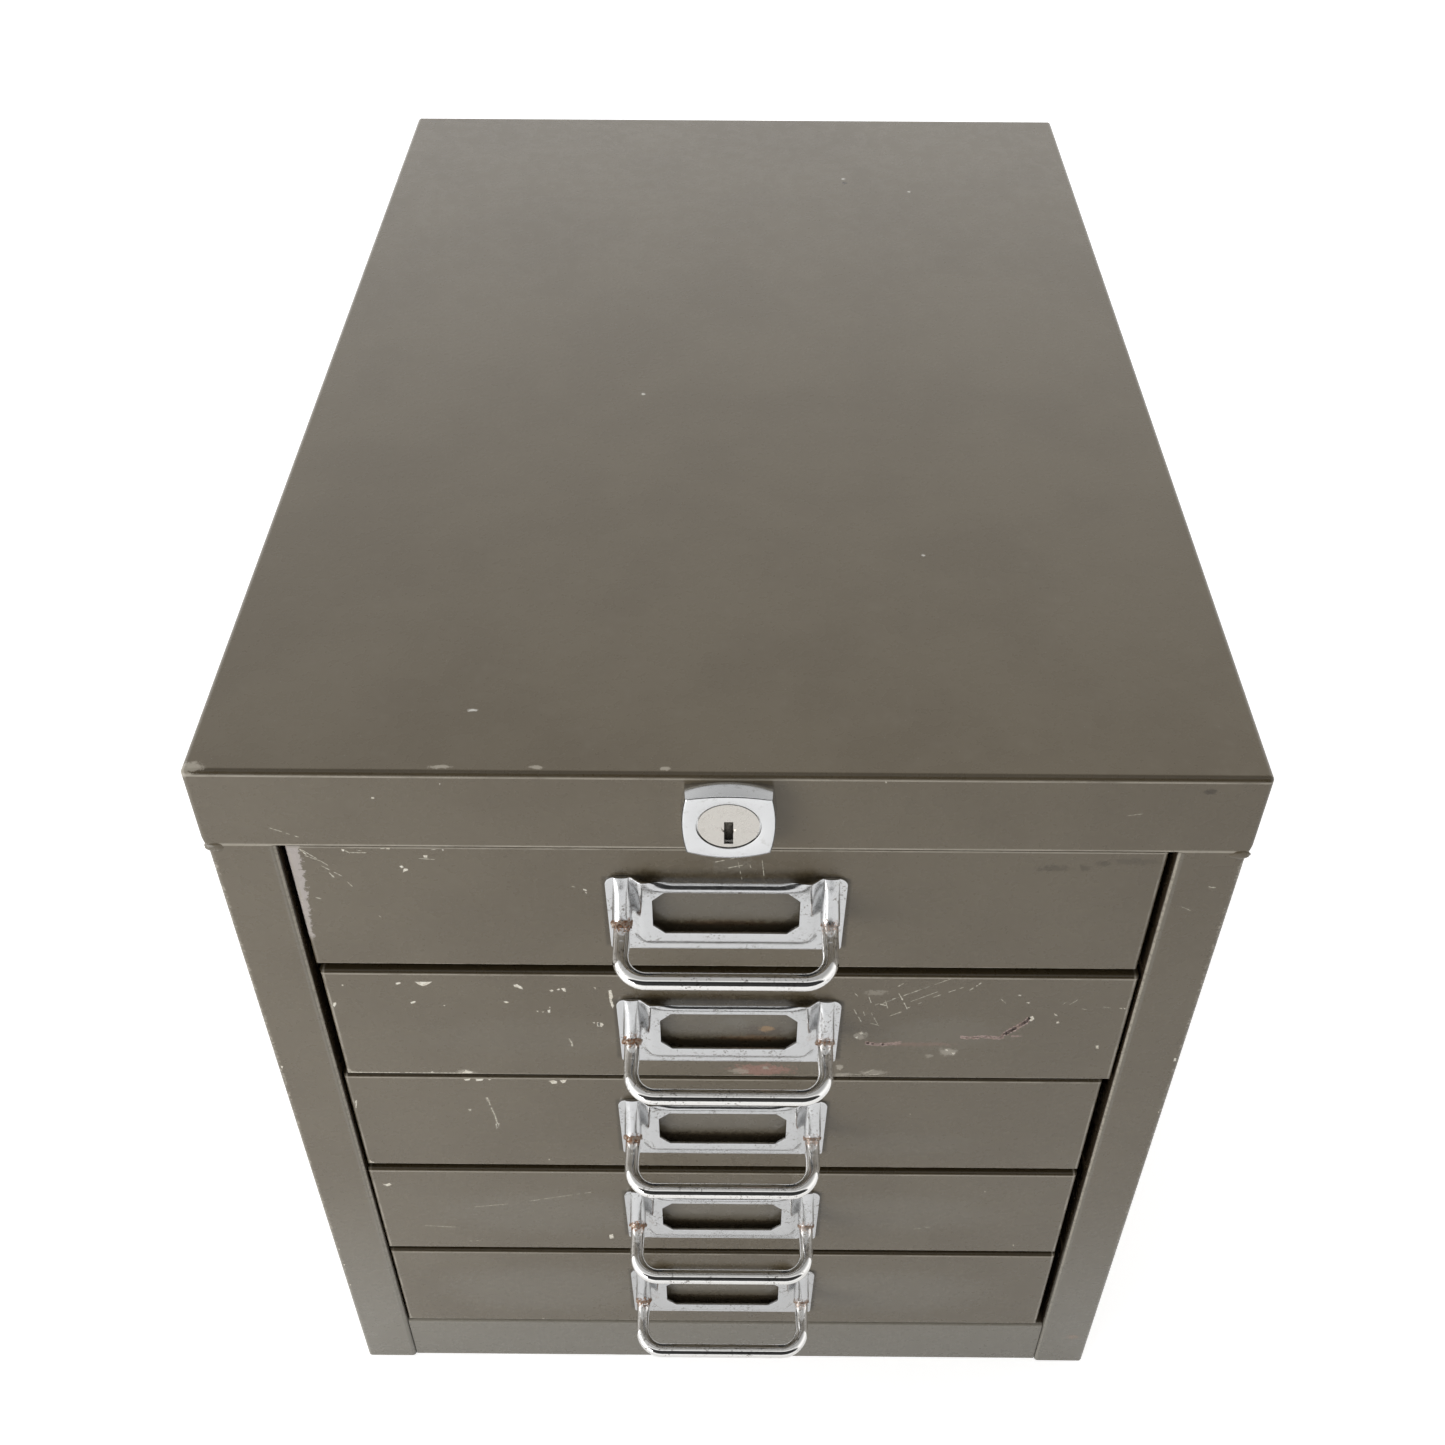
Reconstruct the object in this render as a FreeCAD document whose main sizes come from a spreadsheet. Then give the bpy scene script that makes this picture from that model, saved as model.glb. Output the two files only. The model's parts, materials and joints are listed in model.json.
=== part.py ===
import FreeCAD, Part
import math
import os
from types import SimpleNamespace

import Sketcher
from FreeCAD import Placement, Rotation, Vector

# A small desk-top cabinet of sheet steel with five drawers and one lock for all of them.
# Units are millimetres. The origin is at the middle of the cabinet's footprint, on the
# surface that it stands on. +Z is up, +X is to the right as the fronts are seen, and the
# fronts face -Y.

DRAWER_COUNT = 5
LEFT = -1
RIGHT = 1
# Flat sides that stand in for a round wire and a half-round hood, and steps in a wire's bend
WIRE_SIDES = 16
HOOD_SIDES = 8
BEND_STEPS = 5

# Driving sizes, one row each: alias, value
SIZES = [
    # Cabinet body
    ("body_width", 279.4),
    ("body_depth", 406.4),
    ("body_height", 327.0),
    ("sheet", 0.9),
    ("seam", 0.2),
    ("flange", 12.0),
    ("cover_overhang", 1.1),
    ("cover_bend", 1.5),
    ("fascia_height", 28.1),
    ("fascia_return", 12.0),
    ("corner_clip", 3.2),
    ("post_width", 18.7),
    ("post_depth", 24.0),
    ("post_bend", 1.5),
    ("rail_height", 27.56),
    ("rail_return", 12.0),
    ("overrun", 1.0),
    # Drawer fronts, their gaps and where each one rests
    ("front_gap", 2.0),
    ("front_side_gap", 1.65),
    ("front_flange", 12.0),
    ("front_bend", 1.1),
    ("recess_1", 1.3),
    ("recess_2", 0.4),
    ("recess_3", 1.4),
    ("recess_4", 0.8),
    ("recess_5", 0.7),
    ("shift_1", -0.1),
    ("shift_2", 0.8),
    ("shift_3", -1.0),
    ("shift_4", -1.2),
    ("shift_5", -1.0),
    ("stop_recess", 1.9),
    # Drawer trays
    ("tray_side_gap", 8.5),
    ("tray_end_gap", 13.4),
    ("tray_bend", 1.5),
    ("tray_back_drop", 9.0),
    ("rim_drop", 6.0),
    ("rim_clearance", 1.7),
    ("rim_start", 14.0),
    ("rim_gap", 0.3),
    ("tab_from_back", 75.0),
    ("tab_width", 4.0),
    ("tab_height", 3.2),
    # Runner channels
    ("runner_height", 5.5),
    ("runner_reach", 6.0),
    ("runner_front_gap", 0.5),
    ("runner_back_gap", 1.3),
    ("lip_drop", 2.6),
    ("stop_height", 4.0),
    # Handle: label-holder plate
    ("plate_margin", 4.65),
    ("plate_height", 31.0),
    ("plate_sheet", 0.8),
    ("plate_bottom", 9.6),
    ("plate_corner", 3.0),
    ("plate_low_corner", 1.0),
    ("panel_gap", 5.35),
    ("panel_rise", 2.25),
    ("panel_facet", 2.8),
    ("panel_low_edge", 5.8),
    ("window_margin", 3.15),
    ("window_height", 17.5),
    ("window_low_edge", 9.7),
    ("window_clip", 3.4),
    ("hood_length", 13.9),
    ("hood_width", 5.0),
    ("hood_low_rise", 5.2),
    ("hood_top_rise", 1.4),
    ("lug_end_gap", 3.6),
    ("lug_width", 8.0),
    ("lug_length", 6.0),
    ("lug_gap", 0.1),
    # Handle: wire bow
    ("wire", 4.76),
    ("bow_width", 57.9),
    ("bow_reach", 21.0),
    ("bow_droop", 8.5),
    ("bow_bend", 7.5),
    ("bow_root", 24.3),
    # Lock head, plug and cam
    ("lock_offset", 0.5),
    ("lock_drop", 14.1),
    ("head_rise", 5.2),
    ("head_top_width", 21.9),
    ("head_low_width", 20.9),
    ("head_side_bulge", 1.2),
    ("head_top_bulge", 1.25),
    ("head_low_bulge", 1.7),
    ("head_above", 10.25),
    ("head_below", 9.3),
    ("head_edge", 0.7),
    ("barrel", 18.8),
    ("barrel_length", 12.5),
    ("barrel_gap", 0.2),
    ("lock_nut_height", 3.0),
    ("lock_nut_corners", 25.4),
    ("plug_face", 16.2),
    ("plug_face_height", 1.8),
    ("plug_recess", 0.5),
    ("plug", 12.4),
    ("plug_gap", 0.15),
    ("plug_tail", 4.4),
    ("keyway_width", 2.4),
    ("keyway_height", 8.4),
    ("keyway_drop", 2.6),
    ("keyway_depth", 11.0),
    ("keyway_ring", 4.0),
    ("keyway_ring_drop", 0.8),
    ("keyway_ring_depth", 0.4),
    ("cam_gap", 0.5),
    ("cam", 15.0),
    ("cam_sheet", 1.8),
    ("cam_fit", 0.1),
    ("cam_pin", 3.0),
    ("cam_pin_throw", 3.8),
    ("cam_pin_angle", 45.0),
    ("cam_pin_length", 3.6),
    ("cam_bar_gap", 1.7),
    # Bars that the lock moves
    ("bar_sheet", 1.5),
    ("transfer_above", 9.0),
    ("transfer_below", 3.0),
    ("transfer_tail", 14.5),
    ("pin_slot_gap", 0.45),
    ("lock_bar_width", 8.3),
    ("lock_bar_side_gap", 1.3),
    ("lock_bar_foot", 9.0),
    ("lock_tab_height", 8.0),
    ("lock_tab_hide", 0.4),
    ("lock_slot_gap", 1.0),
    ("guide_sheet", 1.2),
    ("guide_gap", 0.3),
    ("guide_front", 9.0),
    ("guide_depth", 16.0),
    ("guide_left_place", 45.0),
    ("guide_post_gap", 21.0),
    ("guide_low_place", 12.0),
    ("guide_low_front", 12.0),
    # Catches that the lock bar's tabs stop
    ("catch_sheet", 1.2),
    ("catch_length", 11.0),
    ("catch_height", 12.0),
    ("catch_low_edge", 4.0),
    ("catch_gap", 0.2),
]

# How close two places are taken to be the same when an edge is looked for
SAME_PLACE = 1e-4


class Size:
    """A length that is known both as a number and as a formula on the sheet."""

    def __init__(self, text, value):
        self.text = text
        self.value = value

    def joined(self, other, sign, value):
        other_text = other.text if isinstance(other, Size) else repr(other)
        return Size("(%s %s %s)" % (self.text, sign, other_text), value)

    def __add__(self, other):
        return self.joined(other, "+", self.value + number(other))

    def __sub__(self, other):
        return self.joined(other, "-", self.value - number(other))

    def __mul__(self, other):
        return self.joined(other, "*", self.value * number(other))

    def __truediv__(self, other):
        return self.joined(other, "/", self.value / number(other))

    def __neg__(self):
        return Size("(0 - %s)" % self.text, -self.value)


def number(size):
    """The plain number of a Size, or the number itself."""
    return float(size.value) if isinstance(size, Size) else float(size)


def root(size):
    return Size("sqrt(%s)" % size.text, math.sqrt(size.value))


def cosine(angle):
    return Size("cos(%s * 1deg)" % angle.text, math.cos(math.radians(angle.value)))


def sine(angle):
    return Size("sin(%s * 1deg)" % angle.text, math.sin(math.radians(angle.value)))


def bulge_radius(chord, bulge):
    """Radius of the arc that stands out by bulge over the middle of a chord."""
    return (chord * chord / 4 + bulge * bulge) / (bulge * 2)


def make_sheet(document):
    """Write the driving sizes into a spreadsheet and return them as Sizes."""
    sheet = document.addObject("Spreadsheet::Sheet", "sizes")
    known = SimpleNamespace()
    for row, (alias, value) in enumerate(SIZES, start=1):
        sheet.set("A%d" % row, alias)
        sheet.set("B%d" % row, str(value))
        sheet.setAlias("B%d" % row, alias)
        setattr(known, alias, Size("sizes." + alias, value))
    document.recompute()
    return known


# Helpers for sketches and features

PLANES = {"XY": ("XY_Plane", 1), "XZ": ("XZ_Plane", -1), "YZ": ("YZ_Plane", 1)}


def bind(thing, path, size):
    """Tie a property to the sheet."""
    if isinstance(size, Size):
        thing.setExpression(path, size.text)


def new_body(document, name):
    body = document.addObject("PartDesign::Body", name)
    body.Label = name
    return body


def place(thing, x, y, z):
    """Move a piece to a place that follows the sheet."""
    thing.Placement = Placement(Vector(number(x), number(y), number(z)), Rotation())
    bind(thing, "Placement.Base.x", x)
    bind(thing, "Placement.Base.y", y)
    bind(thing, "Placement.Base.z", z)


def sketch_at(body, plane, start):
    """A sketch on one of the body's own planes, moved to start along that plane's axis."""
    role, side = PLANES[plane]
    sketch = body.newObject("Sketcher::SketchObject", "sketch")
    for feature in body.Origin.OriginFeatures:
        if feature.Role == role:
            sketch.AttachmentSupport = [(feature, "")]
    sketch.MapMode = "FlatFace"
    if isinstance(start, Size):
        sketch.AttachmentOffset = Placement(Vector(0, 0, side * start.value), Rotation())
        bind(sketch, "AttachmentOffset.Base.z", start * side)
    return sketch


def fix_point(sketch, line, end, point):
    """Hold one end of a line at a place that follows the sheet."""
    for axis, size in zip(("DistanceX", "DistanceY"), point):
        value = number(size)
        if value == 0:
            straight = -2 if axis == "DistanceX" else -1
            sketch.addConstraint(Sketcher.Constraint("PointOnObject", line, end, straight))
        else:
            index = sketch.addConstraint(Sketcher.Constraint(axis, -1, 1, line, end, value))
            bind(sketch, "Constraints[%d]" % index, size)


def arc_between(start, end, radius):
    """An arc of less than a half circle from start to end, turning anticlockwise."""
    first = Vector(number(start[0]), number(start[1]), 0)
    last = Vector(number(end[0]), number(end[1]), 0)
    chord = last - first
    reach = max(number(radius) ** 2 - chord.Length ** 2 / 4, 0) ** 0.5
    inward = Vector(-chord.y, chord.x, 0).normalize()
    centre = (first + last) / 2 + inward * reach
    middle = centre - inward * number(radius)
    return Part.Arc(first, middle, last)


def draw_outline(sketch, points):
    """A closed outline. A point is (x, y), or (x, y, radius) where an arc goes on from it."""
    first = sketch.GeometryCount
    count = len(points)
    for index, point in enumerate(points):
        following = points[(index + 1) % count]
        if len(point) == 3:
            sketch.addGeometry(arc_between(point, following, point[2]), False)
        else:
            start = Vector(number(point[0]), number(point[1]), 0)
            end = Vector(number(following[0]), number(following[1]), 0)
            sketch.addGeometry(Part.LineSegment(start, end), False)
    for index in range(count):
        following = first + (index + 1) % count
        sketch.addConstraint(Sketcher.Constraint("Coincident", first + index, 2, following, 1))
    for index, point in enumerate(points):
        fix_point(sketch, first + index, 1, point[:2])
        if len(point) == 3:
            held = Sketcher.Constraint("Radius", first + index, number(point[2]))
            bind(sketch, "Constraints[%d]" % sketch.addConstraint(held), point[2])


def draw_path(sketch, points):
    """An open run of straight lines."""
    for index, (start, end) in enumerate(zip(points, points[1:])):
        first = Vector(number(start[0]), number(start[1]), 0)
        last = Vector(number(end[0]), number(end[1]), 0)
        sketch.addGeometry(Part.LineSegment(first, last), False)
        if index > 0:
            sketch.addConstraint(Sketcher.Constraint("Coincident", index - 1, 2, index, 1))
        fix_point(sketch, index, 1, start)
    fix_point(sketch, len(points) - 2, 2, points[-1])


def draw_circle(sketch, x, y, diameter):
    centre = Vector(number(x), number(y), 0)
    circle = Part.Circle(centre, Vector(0, 0, 1), number(diameter) / 2)
    index = sketch.addGeometry(circle, False)
    fix_point(sketch, index, 3, (x, y))
    held = sketch.addConstraint(Sketcher.Constraint("Diameter", index, number(diameter)))
    bind(sketch, "Constraints[%d]" % held, diameter)


def rectangle(left, right, low, high):
    return [(left, low), (right, low), (right, high), (left, high)]


def both_sides(points):
    """An outline and its mirror image across the sketch's upright axis."""
    return [points, [(point[0] * -1,) + tuple(point[1:]) for point in points]]


def filled_sketch(body, plane, start, outlines=(), circles=()):
    sketch = sketch_at(body, plane, start)
    for points in outlines:
        draw_outline(sketch, points)
    for circle in circles:
        draw_circle(sketch, *circle)
    return sketch


def add(body, plane, start, length, outlines=(), circles=()):
    """Add material from start, for length, in the plane's positive direction."""
    sketch = filled_sketch(body, plane, start, outlines, circles)
    feature = body.newObject("PartDesign::Pad", "pad")
    feature.Profile = sketch
    feature.Reversed = PLANES[plane][1] < 0
    feature.Length = number(length)
    bind(feature, "Length", length)
    return feature


def cut(body, plane, start, length, outlines=(), circles=()):
    """Take material away from start, for length, in the plane's positive direction."""
    sketch = filled_sketch(body, plane, start, outlines, circles)
    body.Document.recompute()
    before = body.Shape.Volume
    feature = body.newObject("PartDesign::Pocket", "pocket")
    feature.Profile = sketch
    feature.Reversed = PLANES[plane][1] > 0
    feature.Length = number(length)
    bind(feature, "Length", length)
    body.Document.recompute()
    if body.Shape.Volume >= before:
        raise ValueError("A cut in %s took nothing away" % body.Label)
    return feature


def loft(body, kind, first, last):
    feature = body.newObject("PartDesign::" + kind, "loft")
    feature.Profile = first
    feature.Sections = [last]
    feature.Ruled = True
    return feature


def is_straight(edge):
    ends = [vertex.Point for vertex in edge.Vertexes]
    return len(ends) == 2 and abs(ends[0].distanceToPoint(ends[1]) - edge.Length) < SAME_PLACE


def picked_edges(body, wanted, curved):
    """Names of the edges that wanted() picks by their middle point and their direction."""
    body.Document.recompute()
    names = []
    for index, edge in enumerate(body.Tip.Shape.Edges, start=1):
        if curved or is_straight(edge):
            middle = edge.valueAt((edge.FirstParameter + edge.LastParameter) / 2)
            along = edge.tangentAt(edge.FirstParameter)
            if wanted(middle, along):
                names.append("Edge%d" % index)
    return names


def round_edges(body, radius, wanted):
    """Round the straight edges that wanted() picks."""
    base = body.Tip
    names = picked_edges(body, wanted, False)
    feature = body.newObject("PartDesign::Fillet", "fillet")
    feature.Base = (base, names)
    feature.Radius = number(radius)
    bind(feature, "Radius", radius)
    return feature


def bevel_edges(body, size, wanted):
    """Bevel the edges that wanted() picks, curved ones too."""
    base = body.Tip
    names = picked_edges(body, wanted, True)
    feature = body.newObject("PartDesign::Chamfer", "chamfer")
    feature.Base = (base, names)
    feature.Size = number(size)
    bind(feature, "Size", size)
    return feature


def turn_about(thing, axis, angle, x, y, z):
    """Put an attached thing at x, y, z of its plane and turn it about an axis of its own."""
    where = Vector(number(x), number(y), number(z))
    thing.AttachmentOffset = Placement(where, Rotation(axis, angle.value))
    bind(thing, "AttachmentOffset.Base.x", x)
    bind(thing, "AttachmentOffset.Base.y", y)
    bind(thing, "AttachmentOffset.Base.z", z)
    bind(thing, "AttachmentOffset.Rotation.Angle", angle)


def near(value, size):
    return abs(value - number(size)) < SAME_PLACE


# Places that several pieces share

def opening_half(s):
    """Half the width of the opening between the posts."""
    return s.body_width / 2 - s.post_width


def front_face(s):
    return s.body_depth / -2


def fascia_bottom(s):
    return s.body_height - s.fascia_height


def drawer_pitch(s):
    return (fascia_bottom(s) - s.rail_height) / DRAWER_COUNT


def drawer_bottom(s, number_down):
    """Height of the lower edge of a drawer's front, counted from the top drawer."""
    return s.rail_height + s.front_gap / 2 + drawer_pitch(s) * (DRAWER_COUNT - number_down)


def front_width(s):
    return (opening_half(s) - s.front_side_gap) * 2


def front_height(s):
    return drawer_pitch(s) - s.front_gap


def rim_top(s):
    """Height of a drawer's rim over the lower edge of its front."""
    return front_height(s) - s.rim_drop


def rim_edge(s):
    return opening_half(s) - s.rim_clearance


def tray_half(s):
    """Half the outer width of a drawer's tray."""
    return opening_half(s) - s.tray_side_gap


def tray_length(s):
    return s.body_depth - s.tray_end_gap


def back_inside(s):
    """The inner face of the back panel."""
    return s.body_depth / 2 - s.sheet * 2 - s.seam


def lock_height(s):
    return s.body_height - s.lock_drop


def cam_front(s):
    """How far behind the fascia's face the cam starts; the next ones follow from it."""
    return s.barrel_length + s.cam_gap


def cam_back(s):
    return cam_front(s) + s.cam_sheet


def transfer_front(s):
    return cam_back(s) + s.cam_bar_gap


def lock_bar_front(s):
    return transfer_front(s) + s.bar_sheet


def lock_bar_back(s):
    return lock_bar_front(s) + s.bar_sheet


def pin_side(s):
    """How far the cam pin stands to the right of the lock's axis when it is unlocked."""
    return s.cam_pin_throw * sine(s.cam_pin_angle)


def pin_height(s):
    return s.cam_pin_throw * cosine(s.cam_pin_angle)


def lock_bar_right(s):
    return s.body_width / 2 - s.sheet - s.lock_bar_side_gap


def catch_middle(s):
    return s.catch_low_edge + s.catch_height / 2


# Cabinet body

def make_top_cover(document, s):
    """A pan with the top, the fascia and the side and back flanges in one sheet."""
    body = new_body(document, "top_cover")
    half_width = s.body_width / 2 + s.cover_overhang
    half_depth = s.body_depth / 2
    low = fascia_bottom(s)
    add(body, "XY", low, s.fascia_height,
        [rectangle(-half_width, half_width, -half_depth, half_depth)])
    round_edges(body, s.cover_bend,
                lambda middle, along: abs(along.z) > 0.5 or near(middle.z, s.body_height))
    inner_width = half_width - s.sheet
    inner_depth = half_depth - s.sheet
    cut(body, "XY", low, s.fascia_height - s.sheet,
        [rectangle(-inner_width, inner_width, -inner_depth, inner_depth)])
    flange_width = inner_width - s.sheet - s.cover_overhang
    add(body, "XY", low, s.sheet,
        [rectangle(-flange_width, flange_width, -inner_depth, -inner_depth + s.fascia_return)])
    cut(body, "XZ", -half_depth - s.overrun, s.sheet + s.overrun * 2,
        circles=[(s.lock_offset, lock_height(s), s.barrel + s.barrel_gap * 2)])
    clip = [(half_width + s.overrun, low - s.overrun),
            (half_width + s.overrun, low + s.corner_clip),
            (half_width, low + s.corner_clip),
            (half_width - s.cover_overhang, low),
            (half_width - s.cover_overhang, low - s.overrun)]
    cut(body, "XZ", -half_depth - s.overrun, s.corner_clip + s.overrun, both_sides(clip))
    return body


def make_side_panel(document, s, name, side):
    """A side with its front post, rear flange and bottom flange folded from one sheet."""
    body = new_body(document, name)
    outer = s.body_width / 2
    front = front_face(s)
    back = back_inside(s)
    top = s.body_height - s.sheet
    post = outer - s.post_width
    points = [(outer - s.flange, back),
              (outer, back),
              (outer, front),
              (post, front),
              (post, front + s.post_depth),
              (post + s.sheet, front + s.post_depth),
              (post + s.sheet, front + s.sheet),
              (outer - s.sheet, front + s.sheet),
              (outer - s.sheet, back - s.sheet),
              (outer - s.flange, back - s.sheet)]
    add(body, "XY", 0, top, [[(x * side, y) for x, y in points]])
    round_edges(body, s.post_bend,
                lambda middle, along: near(middle.y, front)
                and (near(abs(middle.x), outer) or near(abs(middle.x), post)))
    above = s.fascia_height
    notch = [(post - s.overrun, front - s.overrun),
             (outer + s.overrun, front - s.overrun),
             (outer + s.overrun, front + s.sheet + s.seam),
             (outer - s.sheet, front + s.sheet + s.seam),
             (outer - s.sheet, front + s.post_depth + s.overrun),
             (post - s.overrun, front + s.post_depth + s.overrun)]
    cut(body, "XY", fascia_bottom(s), above, [[(x * side, y) for x, y in notch]])
    foot = rectangle(outer - s.flange, outer - s.sheet, front + s.sheet, back - s.sheet)
    add(body, "XY", s.sheet, s.sheet, [[(x * side, y) for x, y in foot]])
    if side == RIGHT:
        cut_lock_slots(body, s, post)
    return body


def cut_lock_slots(body, s, post):
    """Slots in the post's inner wall that the lock bar's tabs come out of."""
    front = front_face(s) + lock_bar_front(s) - s.lock_slot_gap
    back = front_face(s) + lock_bar_back(s) + s.lock_slot_gap
    reach = s.lock_tab_height / 2 + s.lock_slot_gap
    slots = []
    for number_down in range(1, DRAWER_COUNT + 1):
        middle = drawer_bottom(s, number_down) + catch_middle(s)
        slots.append(rectangle(front, back, middle - reach, middle + reach))
    cut(body, "YZ", post - s.overrun, s.sheet + s.overrun * 2, slots)


def make_back_panel(document, s):
    body = new_body(document, "back_panel")
    half_width = s.body_width / 2
    add(body, "XZ", back_inside(s), s.sheet,
        [rectangle(-half_width, half_width, s.sheet, s.body_height - s.sheet)])
    return body


def make_base_pan(document, s):
    """The floor, with the rail folded up at its front and a lip folded up at its back."""
    body = new_body(document, "base_pan")
    half_width = s.body_width / 2 - s.sheet
    front = front_face(s) + s.sheet
    back = back_inside(s)
    rail_back = front + s.rail_return
    points = [(back - s.sheet, 0),
              (front, 0),
              (front, s.rail_height),
              (rail_back, s.rail_height),
              (rail_back, s.rail_height - s.sheet),
              (front + s.sheet, s.rail_height - s.sheet),
              (front + s.sheet, s.sheet),
              (back - s.sheet, s.sheet)]
    add(body, "YZ", -half_width, half_width * 2, [points])
    round_edges(body, s.post_bend,
                lambda middle, along: near(middle.y, front) and near(middle.z, s.rail_height))
    post = opening_half(s)
    notch = rectangle(post - s.seam, half_width + s.overrun,
                      front - s.overrun, front_face(s) + s.post_depth + s.seam)
    cut(body, "XY", 0, s.rail_height + s.overrun, both_sides(notch))
    lip = s.body_width / 2 - s.flange - s.seam
    add(body, "XZ", back - s.sheet, s.sheet, [rectangle(-lip, lip, 0, s.flange)])
    return body


def make_runner(document, s, name, side, number_down):
    """A channel on the side panel that one rim of a drawer slides in."""
    body = new_body(document, name)
    wall = s.body_width / 2 - s.sheet
    tip = opening_half(s) - s.runner_reach
    shelf = rim_top(s) - s.sheet - s.rim_gap
    ceiling = shelf + s.runner_height
    front = front_face(s) + s.post_depth + s.runner_front_gap
    back = back_inside(s) - s.sheet - s.runner_back_gap
    points = [(wall, shelf - s.sheet),
              (wall, ceiling + s.sheet),
              (tip, ceiling + s.sheet),
              (tip, ceiling),
              (wall - s.sheet, ceiling),
              (wall - s.sheet, shelf),
              (tip, shelf),
              (tip, shelf - s.sheet)]
    add(body, "XZ", front, back - front, [[(x * side, z) for x, z in points]])
    lip = rectangle(tip, rim_edge(s), ceiling - s.lip_drop, ceiling)
    add(body, "XZ", front, s.sheet, [[(x * side, z) for x, z in lip]])
    stop = rectangle(tip, rim_edge(s), shelf, shelf + s.stop_height)
    add(body, "XZ", front_face(s) + s.stop_recess + tray_length(s), s.sheet,
        [[(x * side, z) for x, z in stop]])
    place(body, 0, 0, drawer_bottom(s, number_down))
    return body


# Drawers. Each piece is drawn with its origin in the middle of the lower edge of the
# drawer's front face.

def place_drawer_piece(thing, s, number_down):
    shift = getattr(s, "shift_%d" % number_down)
    recess = getattr(s, "recess_%d" % number_down)
    place(thing, shift, front_face(s) + recess, drawer_bottom(s, number_down))


def plate_half(s):
    """Half the width of a handle's plate, which reaches past the wire's two ends."""
    return s.bow_width / 2 + s.plate_margin


def panel_half(s):
    """Half the width of the raised panel between the wire's two ends."""
    return s.bow_width / 2 - s.panel_gap


def lug_outlines(s, gap, height):
    """Where the plate's two lugs stand, drawn wider by a gap all round."""
    low = s.plate_bottom
    outer = plate_half(s) - s.lug_end_gap
    return both_sides(rectangle(outer - s.lug_width - gap, outer + gap,
                                low - gap, low + height + gap))


def make_tray(document, s, number_down):
    """The drawer's box with out-turned rims; its front wall is welded to the front."""
    body = new_body(document, "drawer_%d_tray" % number_down)
    half = tray_half(s)
    top = rim_top(s)
    back = tray_length(s)
    add(body, "XY", s.sheet, top - s.sheet, [rectangle(-half, half, s.sheet, back)])
    round_edges(body, s.tray_bend,
                lambda middle, along: near(middle.z, s.sheet) and abs(along.y) > 0.5)
    inner = half - s.sheet
    floor_top = s.sheet * 2
    cut(body, "XY", floor_top, top - floor_top,
        [rectangle(-inner, inner, floor_top, back - s.sheet)])
    low_half = half - s.tray_back_drop
    cut(body, "XZ", back - s.sheet - s.overrun, s.sheet + s.overrun * 2,
        [rectangle(-low_half, low_half, top - s.tray_back_drop, top + s.overrun)])
    rim = rectangle(inner, rim_edge(s), s.rim_start, back)
    add(body, "XY", top - s.sheet, s.sheet, both_sides(rim))
    tab = rectangle(rim_edge(s) - s.tab_width, rim_edge(s), top - s.sheet, top + s.tab_height)
    add(body, "XZ", back - s.tab_from_back, s.sheet, both_sides(tab))
    cut(body, "XZ", 0, floor_top + s.overrun, lug_outlines(s, s.lug_gap, s.plate_sheet))
    place_drawer_piece(body, s, number_down)
    return body


def make_front(document, s, number_down):
    """A shallow pan with its four edges folded back."""
    body = new_body(document, "drawer_%d_front" % number_down)
    half = front_width(s) / 2
    high = front_height(s)
    add(body, "XZ", 0, s.front_flange, [rectangle(-half, half, 0, high)])
    round_edges(body, s.front_bend, lambda middle, along: near(middle.y, 0))
    cut(body, "XZ", s.sheet, s.front_flange,
        [rectangle(-half + s.sheet, half - s.sheet, s.sheet, high - s.sheet)])
    cut(body, "XZ", -s.overrun, s.sheet + s.overrun * 2,
        lug_outlines(s, s.lug_gap, s.plate_sheet))
    place_drawer_piece(body, s, number_down)
    return body


def window_outline(s):
    half = panel_half(s) - s.window_margin
    low = s.plate_bottom + s.window_low_edge
    high = low + s.window_height
    clip = s.window_clip
    return [(-half + clip, low), (half - clip, low), (half, low + clip), (half, high - clip),
            (half - clip, high), (-half + clip, high), (-half, high - clip), (-half, low + clip)]


def add_hoods(body, s, high):
    """Two ramps with round fronts, highest at their lower ends, where the wire goes in."""
    radius = s.hood_width / 2
    middle = s.bow_width / 2
    points = [(middle + radius, 0)]
    for index in range(HOOD_SIDES + 1):
        angle = math.pi * index / HOOD_SIDES
        points.append((middle + radius * math.cos(angle),
                       radius - s.hood_low_rise - radius * math.sin(angle)))
    points.append((middle - radius, 0))
    mouth = high - s.hood_length
    add(body, "XY", mouth, s.hood_length, both_sides(points))
    ahead = -s.hood_low_rise - s.overrun
    above = high + s.overrun
    ramp = [(-s.hood_low_rise, mouth), (-s.hood_top_rise, high), (-s.hood_top_rise, above),
            (ahead, above), (ahead, mouth)]
    reach = middle + s.hood_width
    cut(body, "YZ", -reach, reach * 2, [ramp])


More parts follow.
